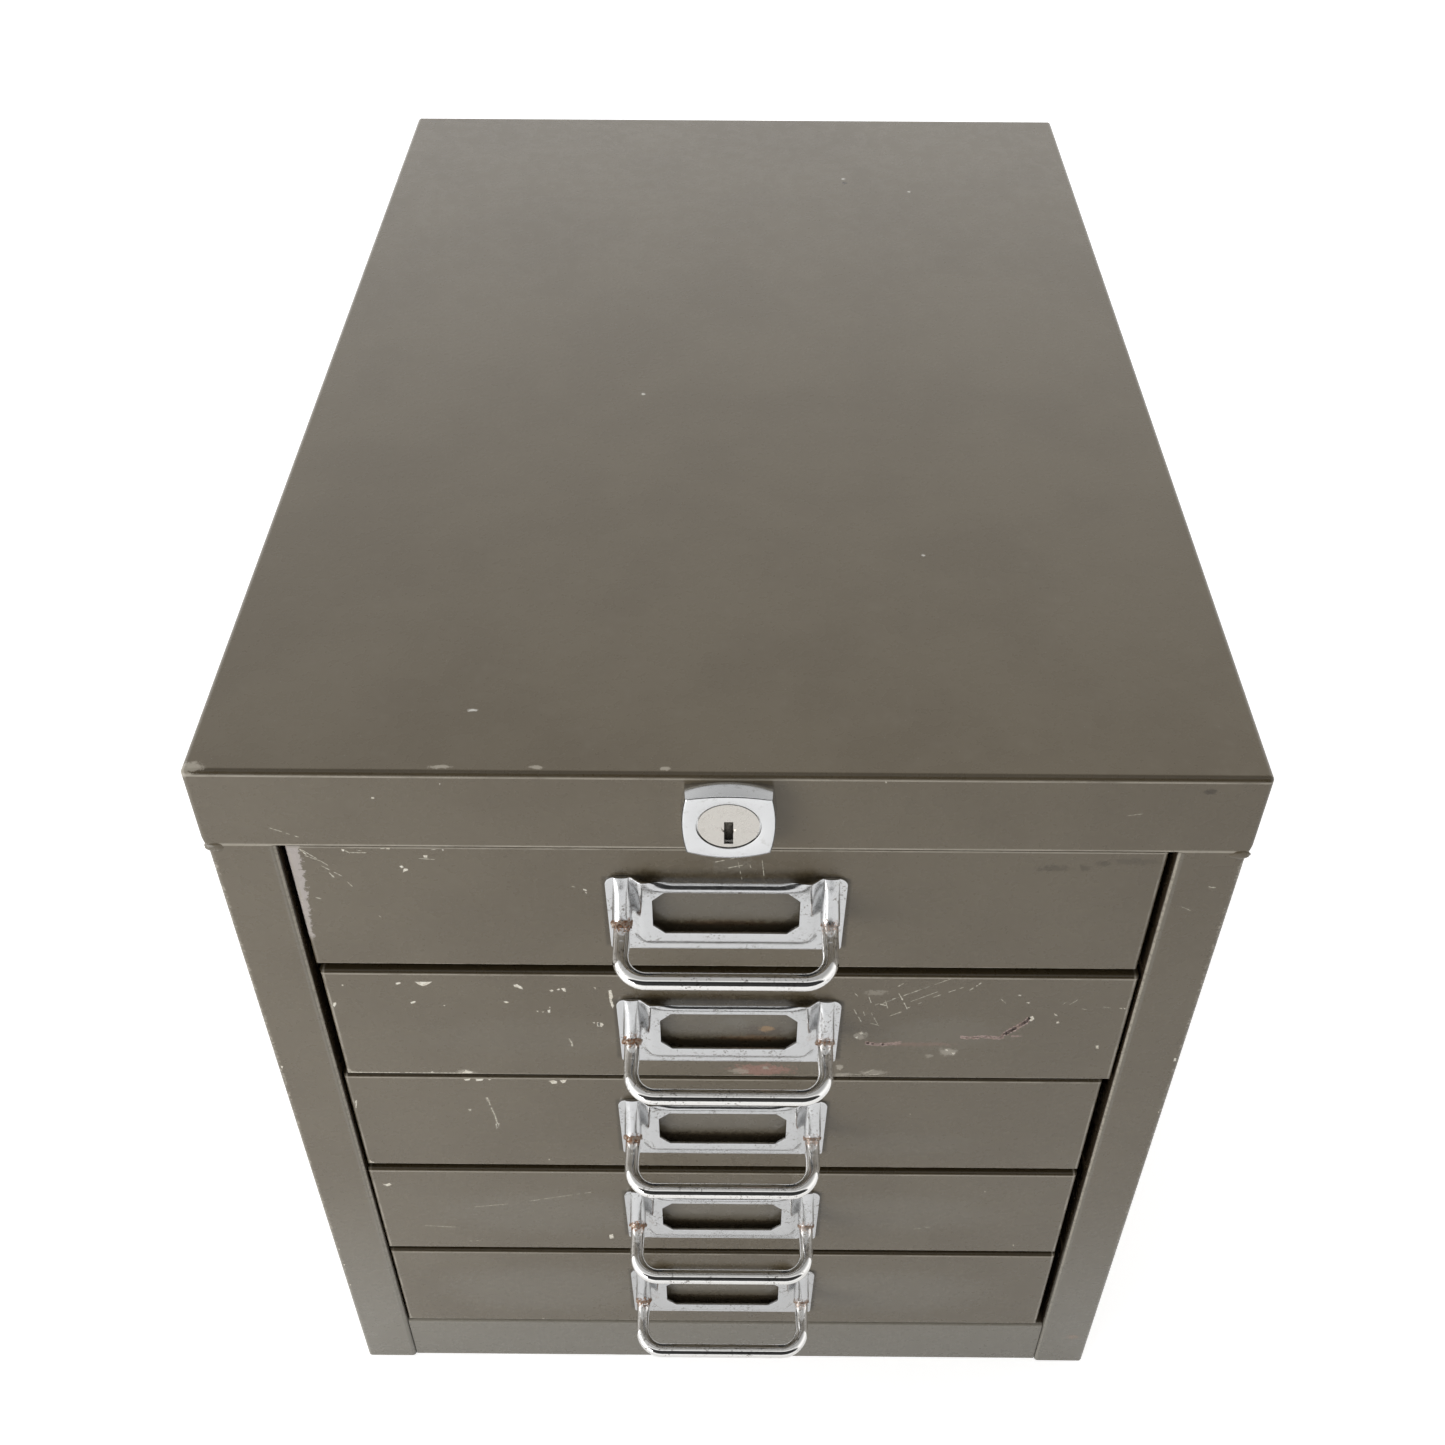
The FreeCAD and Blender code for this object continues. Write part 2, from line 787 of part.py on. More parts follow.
def make_handle_plate(document, s, number_down):
    """A pressed plate: flat wings, a raised label panel, and a hood over each wire end."""
    body = new_body(document, "drawer_%d_handle_plate" % number_down)
    half = plate_half(s)
    low = s.plate_bottom
    high = low + s.plate_height
    thick = s.plate_sheet
    add(body, "XZ", -thick, thick, [rectangle(-half, half, low, high)])
    round_edges(body, s.plate_corner,
                lambda middle, along: abs(along.y) > 0.5 and near(middle.z, high))
    round_edges(body, s.plate_low_corner,
                lambda middle, along: abs(along.y) > 0.5 and near(middle.z, low))
    add_hoods(body, s, high)
    # The raised panel slopes back to the wings at its sides and along its lower edge.
    slope = s.panel_facet / s.panel_rise
    panel = panel_half(s)
    panel_low = low + s.panel_low_edge
    rise = s.panel_rise + thick
    foot = panel + rise * slope
    outer_foot = filled_sketch(body, "XZ", 0, [rectangle(-foot, foot, panel_low - rise, high)])
    outer_face = filled_sketch(body, "XZ", -rise, [rectangle(-panel, panel, panel_low, high)])
    loft(body, "AdditiveLoft", outer_foot, outer_face)
    # The hollow behind the panel is open at the top, where a card slides in.
    wide = panel + s.panel_facet
    above = high + s.overrun
    inner_foot = filled_sketch(body, "XZ", 0,
                               [rectangle(-wide, wide, panel_low - s.panel_rise, above)])
    inner_face = filled_sketch(body, "XZ", -s.panel_rise,
                               [rectangle(-panel, panel, panel_low, above)])
    loft(body, "SubtractiveLoft", inner_foot, inner_face)
    cut(body, "XZ", -rise - s.overrun, rise + s.overrun * 2, [window_outline(s)])
    # Lugs go through the front and the tray's wall, and are bent up behind them.
    behind = s.sheet * 2 + s.lug_gap
    add(body, "XZ", 0, behind, lug_outlines(s, 0, thick))
    add(body, "XZ", behind, thick, lug_outlines(s, 0, s.lug_length))
    place_drawer_piece(body, s, number_down)
    return body


def wire_outline(s):
    """A many-sided section of the wire, as wide across its flats as the wire is thick."""
    reach = s.wire / 2 / math.cos(math.pi / WIRE_SIDES)
    points = []
    for index in range(WIRE_SIDES):
        angle = math.tau * (index + 1 / 2) / WIRE_SIDES
        points.append((reach * math.cos(angle), reach * math.sin(angle)))
    return points


def make_handle_bow(document, s, number_down):
    """A bent wire: a grip and two drooping legs that are brazed to the plate."""
    body = new_body(document, "drawer_%d_handle_bow" % number_down)
    across = s.bow_width / 2
    droop = s.bow_droop
    bend = s.bow_bend
    behind = s.overrun / cosine(droop)
    straight = s.bow_reach / cosine(droop) - bend
    points = [(-across, behind)]
    for index in range(BEND_STEPS + 1):
        angle = math.pi / 2 * index / BEND_STEPS
        points.append((bend - across - bend * math.cos(angle), -straight - bend * math.sin(angle)))
    points += [(point[0] * -1, point[1]) for point in reversed(points)]
    middle = sketch_at(body, "XY", 0)
    turn_about(middle, Vector(1, 0, 0), droop, 0, 0, s.bow_root)
    draw_path(middle, points)
    section = sketch_at(body, "XZ", 0)
    turn_about(section, Vector(1, 0, 0), droop, -across,
               s.bow_root + behind * sine(droop), -behind * cosine(droop))
    draw_outline(section, wire_outline(s))
    wire = body.newObject("PartDesign::AdditivePipe", "wire")
    wire.Profile = section
    wire.Spine = (middle, ["Edge%d" % (index + 1) for index in range(len(points) - 1)])
    wire.Transition = "Right corner"
    body.Document.recompute()
    clear = across + s.wire
    cut(body, "XZ", -s.plate_sheet, s.plate_sheet + s.overrun * 2,
        [rectangle(-clear, clear, s.bow_root - s.wire, s.bow_root + s.wire)])
    place_drawer_piece(body, s, number_down)
    return body


def lay_along_y(thing, x, y, z):
    """Turn a primitive's axis to +Y and put its start at a place on the sheet."""
    where = Vector(number(x), number(y), number(z))
    thing.Placement = Placement(where, Rotation(Vector(1, 0, 0), -90))
    bind(thing, "Placement.Base.x", x)
    bind(thing, "Placement.Base.y", y)
    bind(thing, "Placement.Base.z", z)


def make_cylinder(document, diameter, length, x, y, z):
    cylinder = document.addObject("Part::Cylinder", "cylinder")
    bind(cylinder, "Radius", diameter / 2)
    bind(cylinder, "Height", length)
    lay_along_y(cylinder, x, y, z)
    return cylinder


def make_nut(document, corners, height, bore, x, y, z):
    """A six-sided nut along +Y."""
    prism = document.addObject("Part::Prism", "prism")
    prism.Polygon = 6
    bind(prism, "Circumradius", corners / 2)
    bind(prism, "Height", height)
    lay_along_y(prism, x, y, z)
    nut = document.addObject("Part::Cut", "nut")
    nut.Base = prism
    nut.Tool = make_cylinder(document, bore, height, x, y, z)
    return nut


def make_catch(document, s, number_down):
    """An angle on the tray's right side that the lock bar's tab stops."""
    body = new_body(document, "drawer_%d_lock_catch" % number_down)
    wall = tray_half(s)
    front = lock_bar_back(s) + s.catch_gap
    thick = s.catch_sheet
    points = [(wall, front),
              (rim_edge(s), front),
              (rim_edge(s), front + thick),
              (wall + thick, front + thick),
              (wall + thick, front + s.catch_length),
              (wall, front + s.catch_length)]
    add(body, "XY", s.catch_low_edge, s.catch_height, [points])
    place_drawer_piece(body, s, number_down)
    return body


# Lock. Each of these pieces is drawn with its origin on the lock's axis, in the plane of
# the fascia's face.

def place_lock_piece(thing, s):
    place(thing, s.lock_offset, front_face(s), lock_height(s))


def head_outline(s):
    """The lock head's outline: each of its four edges is a shallow arc."""
    low = s.head_low_width
    top = s.head_top_width
    below = s.head_below
    above = s.head_above
    lean = (top - low) / 2
    flank = root(lean * lean + (below + above) * (below + above))
    return [(-(low / 2), -below, bulge_radius(low, s.head_low_bulge)),
            (low / 2, -below, bulge_radius(flank, s.head_side_bulge)),
            (top / 2, above, bulge_radius(top, s.head_top_bulge)),
            (-(top / 2), above, bulge_radius(flank, s.head_side_bulge))]


def make_lock_housing(document, s):
    """The head in front of the fascia and the barrel through it, bored for the plug."""
    body = new_body(document, "lock_housing")
    add(body, "XZ", -s.head_rise, s.head_rise, [head_outline(s)])
    bevel_edges(body, s.head_edge, lambda middle, along: near(middle.y, -s.head_rise))
    add(body, "XZ", 0, s.barrel_length, circles=[(0, 0, s.barrel)])
    start = -s.head_rise - s.overrun
    cut(body, "XZ", start, s.barrel_length + s.overrun - start,
        circles=[(0, 0, s.plug + s.plug_gap * 2)])
    cut(body, "XZ", start, s.overrun + s.plug_recess + s.plug_face_height + s.plug_gap,
        circles=[(0, 0, s.plug_face + s.plug_gap * 2)])
    place_lock_piece(body, s)
    return body


def make_lock_plug(document, s):
    """The plug that the key turns: a face with a keyway, a shank and a square tail."""
    body = new_body(document, "lock_plug")
    face = -s.head_rise + s.plug_recess
    neck = face + s.plug_face_height
    add(body, "XZ", face, s.plug_face_height, circles=[(0, 0, s.plug_face)])
    add(body, "XZ", neck, cam_front(s) - neck, circles=[(0, 0, s.plug)])
    half = s.plug_tail / 2
    add(body, "XZ", cam_front(s), s.cam_sheet - s.cam_fit, [rectangle(-half, half, -half, half)])
    side = s.keyway_width / 2
    middle = -s.keyway_drop
    reach = s.keyway_height / 2
    cut(body, "XZ", face, s.keyway_depth,
        [rectangle(-side, side, middle - reach, middle + reach)])
    cut(body, "XZ", face, s.keyway_ring_depth,
        circles=[(0, -s.keyway_ring_drop, s.keyway_ring)])
    place_lock_piece(body, s)
    return body


def make_lock_nut(document, s):
    nut = make_nut(document, s.lock_nut_corners, s.lock_nut_height,
                   s.barrel + s.barrel_gap * 2, 0, s.sheet, 0)
    nut.Label = "lock_nut"
    place_lock_piece(nut, s)
    return nut


def make_lock_cam(document, s):
    """A disc on the plug's tail with an off-centre pin that moves the transfer bar."""
    body = new_body(document, "lock_cam")
    add(body, "XZ", cam_front(s), s.cam_sheet, circles=[(0, 0, s.cam)])
    half = s.plug_tail / 2 + s.cam_fit
    cut(body, "XZ", cam_front(s), s.cam_sheet, [rectangle(-half, half, -half, half)])
    add(body, "XZ", cam_back(s), s.cam_pin_length,
        circles=[(pin_side(s), pin_height(s), s.cam_pin)])
    place_lock_piece(body, s)
    return body


# Bars and guides, drawn with their origin in the plane of the posts' face.

def make_transfer_bar(document, s):
    """A flat bar behind the fascia that the cam pin slides sideways."""
    body = new_body(document, "transfer_bar")
    low = lock_height(s) - s.transfer_below
    high = lock_height(s) + s.transfer_above
    add(body, "XZ", transfer_front(s), s.bar_sheet,
        [rectangle(s.lock_offset - s.transfer_tail, lock_bar_right(s), low, high)])
    across = s.lock_offset + pin_side(s)
    half = s.cam_pin / 2 + s.pin_slot_gap
    slot = rectangle(across - half, across + half, lock_height(s) + pin_height(s) - half,
                     lock_height(s) + s.cam_pin_throw + half)
    cut(body, "XZ", transfer_front(s), s.bar_sheet, [slot])
    place(body, 0, front_face(s), 0)
    return body


def make_lock_bar(document, s):
    """An upright bar in the right post with one tab for each drawer."""
    body = new_body(document, "lock_bar")
    right = lock_bar_right(s)
    left = right - s.lock_bar_width
    tip = opening_half(s) + s.lock_tab_hide
    half = s.lock_tab_height / 2
    top = lock_height(s) + s.transfer_above
    points = [(right, s.lock_bar_foot), (right, top), (left, top)]
    for number_down in range(1, DRAWER_COUNT + 1):
        middle = drawer_bottom(s, number_down) + catch_middle(s)
        points += [(left, middle + half), (tip, middle + half),
                   (tip, middle - half), (left, middle - half)]
    points.append((left, s.lock_bar_foot))
    add(body, "XZ", lock_bar_front(s), s.bar_sheet, [points])
    place(body, 0, front_face(s), 0)
    return body


def make_transfer_guide(document, s, name, side_place):
    """An upright plate behind the fascia with a window that the transfer bar slides in."""
    body = new_body(document, name)
    add(body, "YZ", side_place, s.guide_sheet,
        [rectangle(s.guide_front, s.guide_front + s.guide_depth,
                   fascia_bottom(s) + s.sheet, s.body_height - s.sheet)])
    cut(body, "YZ", side_place, s.guide_sheet,
        [rectangle(transfer_front(s) - s.guide_gap, lock_bar_front(s) + s.guide_gap,
                   lock_height(s) - s.transfer_below - s.guide_gap,
                   lock_height(s) + s.transfer_above + s.guide_gap)])
    place(body, 0, front_face(s), 0)
    return body


def make_lock_bar_guide(document, s):
    """A shelf in the foot of the right post with a slot that the lock bar slides in."""
    body = new_body(document, "lock_bar_guide")
    left = opening_half(s) + s.sheet
    right = s.body_width / 2 - s.sheet
    slot_end = lock_bar_right(s) + s.guide_gap
    slot_front = lock_bar_front(s) - s.guide_gap
    slot_back = lock_bar_back(s) + s.guide_gap
    points = [(left, s.guide_low_front), (right, s.guide_low_front),
              (right, s.post_depth), (left, s.post_depth),
              (left, slot_back), (slot_end, slot_back),
              (slot_end, slot_front), (left, slot_front)]
    add(body, "XY", s.guide_low_place, s.guide_sheet, [points])
    place(body, 0, front_face(s), 0)
    return body


def make_cabinet(document, s):
    pieces = [
        make_top_cover(document, s),
        make_side_panel(document, s, "left_side", LEFT),
        make_side_panel(document, s, "right_side", RIGHT),
        make_back_panel(document, s),
        make_base_pan(document, s),
        make_lock_housing(document, s),
        make_lock_plug(document, s),
        make_lock_nut(document, s),
        make_lock_cam(document, s),
        make_transfer_bar(document, s),
        make_lock_bar(document, s),
        make_transfer_guide(document, s, "transfer_guide_left", s.guide_left_place),
        make_transfer_guide(document, s, "transfer_guide_right",
                            opening_half(s) - s.guide_post_gap),
        make_lock_bar_guide(document, s),
    ]
    for number_down in range(1, DRAWER_COUNT + 1):
        pieces += [
            make_runner(document, s, "left_runner_%d" % number_down, LEFT, number_down),
            make_runner(document, s, "right_runner_%d" % number_down, RIGHT, number_down),
            make_tray(document, s, number_down),
            make_front(document, s, number_down),
            make_handle_plate(document, s, number_down),
            make_handle_bow(document, s, number_down),
            make_catch(document, s, number_down),
        ]
    return pieces


def check_pieces(document, pieces):
    """Stop if any object is unsound or if a piece has no solid."""
    for thing in document.Objects:
        if {"Invalid", "Error"} & set(thing.State):
            raise ValueError("%s is %s" % (thing.Label, thing.State))
    for piece in pieces:
        if piece.Shape.isNull() or not piece.Shape.isValid() or not piece.Shape.Solids:
            raise ValueError("%s has no sound solid" % piece.Label)


def main():
    document = FreeCAD.newDocument("drawer_cabinet")
    pieces = make_cabinet(document, make_sheet(document))
    document.recompute()
    check_pieces(document, pieces)
    os.makedirs("parts", exist_ok=True)
    for piece in pieces:
        piece.Shape.exportStep("parts/%s.step" % piece.Label)


main()
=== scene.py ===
import json
from math import copysign, cos, hypot, pi, radians, sin, sqrt, tau
import random

import bmesh
import bpy
from mathutils import Matrix, Vector, noise


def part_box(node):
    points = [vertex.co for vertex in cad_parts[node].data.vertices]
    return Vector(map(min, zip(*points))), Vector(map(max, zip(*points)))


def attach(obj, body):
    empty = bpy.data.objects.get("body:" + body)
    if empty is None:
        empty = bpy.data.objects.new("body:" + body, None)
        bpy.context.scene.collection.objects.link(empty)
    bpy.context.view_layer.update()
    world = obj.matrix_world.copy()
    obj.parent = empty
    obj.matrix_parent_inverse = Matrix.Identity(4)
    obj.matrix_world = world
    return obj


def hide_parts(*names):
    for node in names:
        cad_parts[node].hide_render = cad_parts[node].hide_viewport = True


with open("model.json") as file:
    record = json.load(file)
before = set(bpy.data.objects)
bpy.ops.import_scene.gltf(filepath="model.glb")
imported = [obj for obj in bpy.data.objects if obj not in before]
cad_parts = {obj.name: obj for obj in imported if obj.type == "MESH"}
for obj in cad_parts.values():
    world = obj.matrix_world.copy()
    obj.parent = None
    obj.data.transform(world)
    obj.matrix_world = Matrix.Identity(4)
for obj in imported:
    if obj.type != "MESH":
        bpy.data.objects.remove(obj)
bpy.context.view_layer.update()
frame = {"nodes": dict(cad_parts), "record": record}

# A small enamelled sheet-steel cabinet with five drawers, chromed label-holder pulls and one
# lock. Lengths are written in millimetres and scaled to metres. +X is right, -Y is the front.

MM = 0.001
DRAWERS = (1, 2, 3, 4, 5)
SIDES = (-1, 1)

# Places shared with the solids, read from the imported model
front_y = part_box("left_side")[0][1]


def at(x, y, z):
    return Vector((x * MM, y * MM, z * MM))


def drawer_origin(number_down):
    low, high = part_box("drawer_%d_front" % number_down)
    return Vector(((low[0] + high[0]) / 2, low[1], low[2])) / MM


# Shader helpers. A socket knows its own node tree.

def new_material(name):
    """A material with an empty node tree, its surface shader and its output."""
    material = bpy.data.materials.new(name)
    material.use_nodes = True
    tree = material.node_tree
    tree.nodes.clear()
    shader = tree.nodes.new("ShaderNodeBsdfPrincipled")
    output = tree.nodes.new("ShaderNodeOutputMaterial")
    tree.links.new(shader.outputs["BSDF"], output.inputs["Surface"])
    return material, tree, shader


def feed(socket, value):
    """Set a socket to a plain value, or link it where the value is another node's output."""
    if isinstance(value, bpy.types.NodeSocket):
        socket.id_data.links.new(value, socket)
    else:
        socket.default_value = value


def calc(kind, first, second=0.0):
    linked = first if isinstance(first, bpy.types.NodeSocket) else second
    node = linked.id_data.nodes.new("ShaderNodeMath")
    node.operation = kind
    feed(node.inputs[0], first)
    feed(node.inputs[1], second)
    return node.outputs[0]


def span(value, low, high, to_low=0.0, to_high=1.0, smooth=True):
    """Map low..high to to_low..to_high, held at the ends."""
    node = value.id_data.nodes.new("ShaderNodeMapRange")
    node.interpolation_type = "SMOOTHSTEP" if smooth else "LINEAR"
    for socket, number in zip(node.inputs, (value, low, high, to_low, to_high)):
        feed(socket, number)
    return node.outputs[0]


def blend_colour(factor, first, second):
    node = factor.id_data.nodes.new("ShaderNodeMix")
    node.data_type = "RGBA"
    feed(node.inputs["Factor"], factor)
    feed(node.inputs["A"], first)
    feed(node.inputs["B"], second)
    return node.outputs["Result"]


def place_of(tree):
    """A point's place on its own piece, in metres."""
    return tree.nodes.new("ShaderNodeTexCoord").outputs["Object"]


def cloud(vector, size, detail=2.0, rough=0.5):
    """Noise whose blotches are about size millimetres across."""
    node = vector.id_data.nodes.new("ShaderNodeTexNoise")
    node.inputs["Scale"].default_value = 1.0 / (size * MM)
    node.inputs["Detail"].default_value = detail
    node.inputs["Roughness"].default_value = rough
    feed(node.inputs["Vector"], vector)
    return node.outputs["Fac"]


def cells(vector, size):
    """The way to the nearest of many scattered points, size millimetres apart."""
    node = vector.id_data.nodes.new("ShaderNodeTexVoronoi")
    node.inputs["Scale"].default_value = 1.0 / (size * MM)
    feed(node.inputs["Vector"], vector)
    return node.outputs["Distance"]


def bumped(height, depth):
    """A surface normal raised by height, depth millimetres at most."""
    node = height.id_data.nodes.new("ShaderNodeBump")
    node.inputs["Strength"].default_value = 1.0
    node.inputs["Distance"].default_value = depth * MM
    feed(node.inputs["Height"], height)
    return node.outputs["Normal"]


def rgb(red, green, blue):
    return (red, green, blue, 1.0)


def surface(shader, **looks):
    """Feed a shader's sockets by their names, written in lower case with underscores."""
    for name, value in looks.items():
        feed(shader.inputs[name.replace("_", " ").title()], value)


def coated(colour, coats):
    """A colour with each coat's paint laid over it where the coat's mask is 1."""
    for mask, paint in coats:
        colour = blend_colour(mask, colour, paint)
    return colour


def wander(value, reach):
    """An uneven shift of up to reach either way, driven by a noise value."""
    return span(value, 0.25, 0.75, -reach, reach, False)


# Materials

ENAMEL = rgb(0.148, 0.121, 0.080)
ENAMEL_DARK = rgb(0.134, 0.108, 0.070)
ENAMEL_PALE = rgb(0.175, 0.150, 0.108)
DUST = rgb(0.33, 0.31, 0.27)
# Pale paint at chips and rubbed spots, and painted highlight along the folds
PALE_WEAR_AND_HIGHLIGHT = rgb(0.40, 0.36, 0.29)
BARE = rgb(0.50, 0.45, 0.42)
# Dark brown grime in smudges and spots, and painted shade on the top folds, over and beside the plates
GRIME_AND_SHADE = rgb(0.045, 0.032, 0.014)
# Near black: soot specks, painted shadow on the posts' inner returns, and darkening along the windows' feet
SOOT_AND_SHADE = rgb(0.026, 0.017, 0.009)
RUST = rgb(0.40, 0.17, 0.06)
PRIMER = rgb(0.30, 0.165, 0.125)
GOLD = rgb(0.50, 0.29, 0.12)
OIL = rgb(0.065, 0.034, 0.014)
# Painted light: a pale wash that brightens the lower fronts, the windows and the post bends
PAINTED_LIGHT = rgb(0.24, 0.225, 0.19)
LINT = rgb(0.70, 0.68, 0.62)
PITTED = rgb(0.16, 0.14, 0.12)
BRAZE_GREY = rgb(0.42, 0.36, 0.30)
BRAZE_BROWN = rgb(0.26, 0.12, 0.055)

# Blotch sizes of the enamel's mottling, fine grain, dust and skin, and the skin's depth
MOTTLE = 38.0
GRAIN = 5.0
DUST_SPACING = 3.4
DUST_SPECK = (0.030, 0.055)
SKIN = 0.55
SKIN_DEPTH = 0.006
# Blotch sizes of ragged borders, and of the slow changes along the folds
RAGGED = 1.5
FRONT_SLOW = 9.0
BODY_SLOW = 11.0


def enamel(name, wear_and_light=None):
    """Satin olive-grey stoved enamel with faint mottling and fine dust, and wear, dirt and painted light and
    shade over it.
    """
    material, tree, shader = new_material(name)
    place = place_of(tree)
    mottle = cloud(place, MOTTLE, 4.0, 0.6)
    fine = cloud(place, GRAIN, 3.0, 0.65)
    dust = span(cells(place, DUST_SPACING), *DUST_SPECK, 0.5, 0.0)
    colour = blend_colour(span(mottle, 0.35, 0.65), ENAMEL_DARK, ENAMEL)
    colour = coated(colour, ((span(fine, 0.55, 0.8, 0.0, 0.35), ENAMEL_PALE), (dust, DUST)))
    if wear_and_light is not None:
        colour = wear_and_light(place, colour)
    surface(shader, base_color=colour, roughness=span(fine, 0.3, 0.7, 0.24, 0.33),
            normal=bumped(cloud(place, SKIN, 1.0), SKIN_DEPTH))
    return material


def local_parts(place, origin):
    """A point's x, y and z in millimetres from an origin given in millimetres."""
    nodes = place.id_data.nodes
    apart = nodes.new("ShaderNodeVectorMath")
    apart.operation = "SUBTRACT"
    feed(apart.inputs[0], place)
    apart.inputs[1].default_value = origin * MM
    larger = nodes.new("ShaderNodeVectorMath")
    larger.operation = "SCALE"
    feed(larger.inputs[0], apart.outputs["Vector"])
    larger.inputs["Scale"].default_value = 1.0 / MM
    parts = nodes.new("ShaderNodeSeparateXYZ")
    feed(parts.inputs[0], larger.outputs["Vector"])
    return tuple(parts.outputs)


def band(value, low, high, soft):
    """1 between low and high, falling to 0 over soft on each side."""
    rise = span(value, low - soft, low)
    fall = span(value, high, high + soft, 1.0, 0.0)
    return times(rise, fall)


def times(*masks):
    product = masks[0]
    for mask in masks[1:]:
        product = calc("MULTIPLY", product, mask)
    return product


def spot(x, z, ragged, centre, half):
    """A ragged patch round a centre, with its half width and half height."""
    across = calc("DIVIDE", calc("SUBTRACT", x, centre[0]), half[0])
    upward = calc("DIVIDE", calc("SUBTRACT", z, centre[1]), half[1])
    square = calc("ADD", times(across, across), times(upward, upward))
    reach = calc("ADD", calc("SQRT", square), wander(ragged, 0.6))
    return span(reach, 0.55, 1.0, 1.0, 0.0)


FRONT_TOP = 52.27
FRONT_HALF = 119.35
# Soft patches on each drawer's front: centre and half size as x and z, strength and colour. Patches in the
# pale wash colour are painted light that brightens the front; the others are chips, stains and smudges.
PATCHES = {
    1: (((88.8, 44.7), (5.5, 1.6), 0.5, GRIME_AND_SHADE), ((97.3, 45.0), (1.8, 1.6), 0.5, GRIME_AND_SHADE),
        ((102.3, 46.9), (2.5, 1.2), 0.45, GRIME_AND_SHADE), ((111.1, 47.9), (7.0, 1.6), 0.35, GRIME_AND_SHADE),
        ((2.0, 45.0), (8.0, 3.5), 0.25, PAINTED_LIGHT), ((0.0, 20.5), (15.0, 1.6), 0.15, RUST)),
    2: (((39.8, 22.5), (2.6, 2.4), 0.85, PALE_WEAR_AND_HIGHLIGHT), ((67.3, 14.4), (3.4, 2.2), 0.8, PALE_WEAR_AND_HIGHLIGHT),
        ((61.6, 12.3), (1.3, 1.2), 0.7, PALE_WEAR_AND_HIGHLIGHT), ((45.0, 3.0), (5.0, 1.6), 0.6, PALE_WEAR_AND_HIGHLIGHT),
        ((43.5, 44.0), (4.0, 1.6), 0.45, PALE_WEAR_AND_HIGHLIGHT), ((-82.0, 1.6), (3.4, 1.5), 0.8, PALE_WEAR_AND_HIGHLIGHT),
        ((10.5, 24.6), (7.5, 3.4), 0.75, OIL), ((11.3, 25.8), (2.8, 1.6), 0.85, GOLD),
        ((7.0, 21.0), (11.0, 1.6), 0.3, RUST), ((2.0, 29.0), (5.0, 3.0), 0.35, PAINTED_LIGHT),
        ((10.5, 4.2), (11.5, 3.6), 0.95, PRIMER), ((3.0, 3.4), (3.5, 1.8), 0.6, PALE_WEAR_AND_HIGHLIGHT),
        ((11.5, 5.2), (1.6, 1.0), 0.8, PALE_WEAR_AND_HIGHLIGHT), ((35.6, 1.8), (3.0, 1.2), 0.75, PALE_WEAR_AND_HIGHLIGHT),
        ((34.4, 6.0), (1.3, 1.5), 0.9, PALE_WEAR_AND_HIGHLIGHT), ((57.5, 18.3), (15.0, 1.2), 0.4, PRIMER),
        ((65.0, 24.0), (22.0, 9.0), 0.18, PAINTED_LIGHT), ((-60.0, 20.0), (40.0, 12.0), 0.10, PAINTED_LIGHT)),
    3: (((15.6, 33.0), (0.8, 2.0), 0.5, GRIME_AND_SHADE), ((60.0, 15.0), (30.0, 8.0), 0.12, PAINTED_LIGHT)),
    4: (((-60.0, 24.0), (45.0, 16.0), 0.22, PAINTED_LIGHT), ((60.0, 26.0), (40.0, 14.0), 0.2, PAINTED_LIGHT)),
    5: (((-65.0, 24.0), (45.0, 20.0), 0.28, PAINTED_LIGHT), ((60.0, 24.0), (45.0, 18.0), 0.3, PAINTED_LIGHT)),
}

# Drawer 1's bare left edge: where it fades in, its widths at its foot and head, its border,
# how far it goes round the fold, and how ragged it is
STRIP_DRAWER = 1
STRIP_FADE = (11.0, 14.0)
STRIP_WIDTHS = (1.5, 4.4)
STRIP_BORDER = (-0.3, 0.2)
STRIP_FOLD = (0.9, 1.3)
STRIP_RAGGED = 1.6
# Drawer 2's worn lower left corner: its slope, its border and how ragged it is
CORNER_DRAWER = 2
CORNER_SLOPE = 1.3
CORNER_BORDER = (4.2, 5.0)
CORNER_RAGGED = 2.0
# Painted highlight lines along a front's folds, as start, end and soft border. The first is counted down from
# the top edge, the second up from the foot and the third inwards from the side.
TOP_HIGHLIGHT = (1.0, 1.35, 0.15)
FOOT_HIGHLIGHT = (0.55, 0.95, 0.2)
SIDE_HIGHLIGHT = (0.8, 1.2, 0.2)
# Painted shade on a front's top fold, counted down from the top edge: full at the first, none at the second
FOLD_SHADE = (0.6, 0.9)
# Dirt with painted shade over the plate, painted light in its window, darkening along the window's foot and
# painted shade beside the plate, each as a band across from the middle and a band in height
DIRT_AND_SHADE_OVER = ((0.0, 28.5, 4.0), (39.0, 41.4, 3.2))
LIGHT_INSIDE = ((0.0, 20.0, 1.0), (22.0, 36.0, 2.0))
WINDOW_FOOT_DARK = ((0.0, 21.0, 1.0), (17.0, 20.0, 2.4))
SHADE_BESIDE = ((33.0, 33.9, 0.8), (11.0, 39.0, 2.0))
# How ragged the darkening along the window's foot ends
FOOT_DARK_RAGGED = 1.8


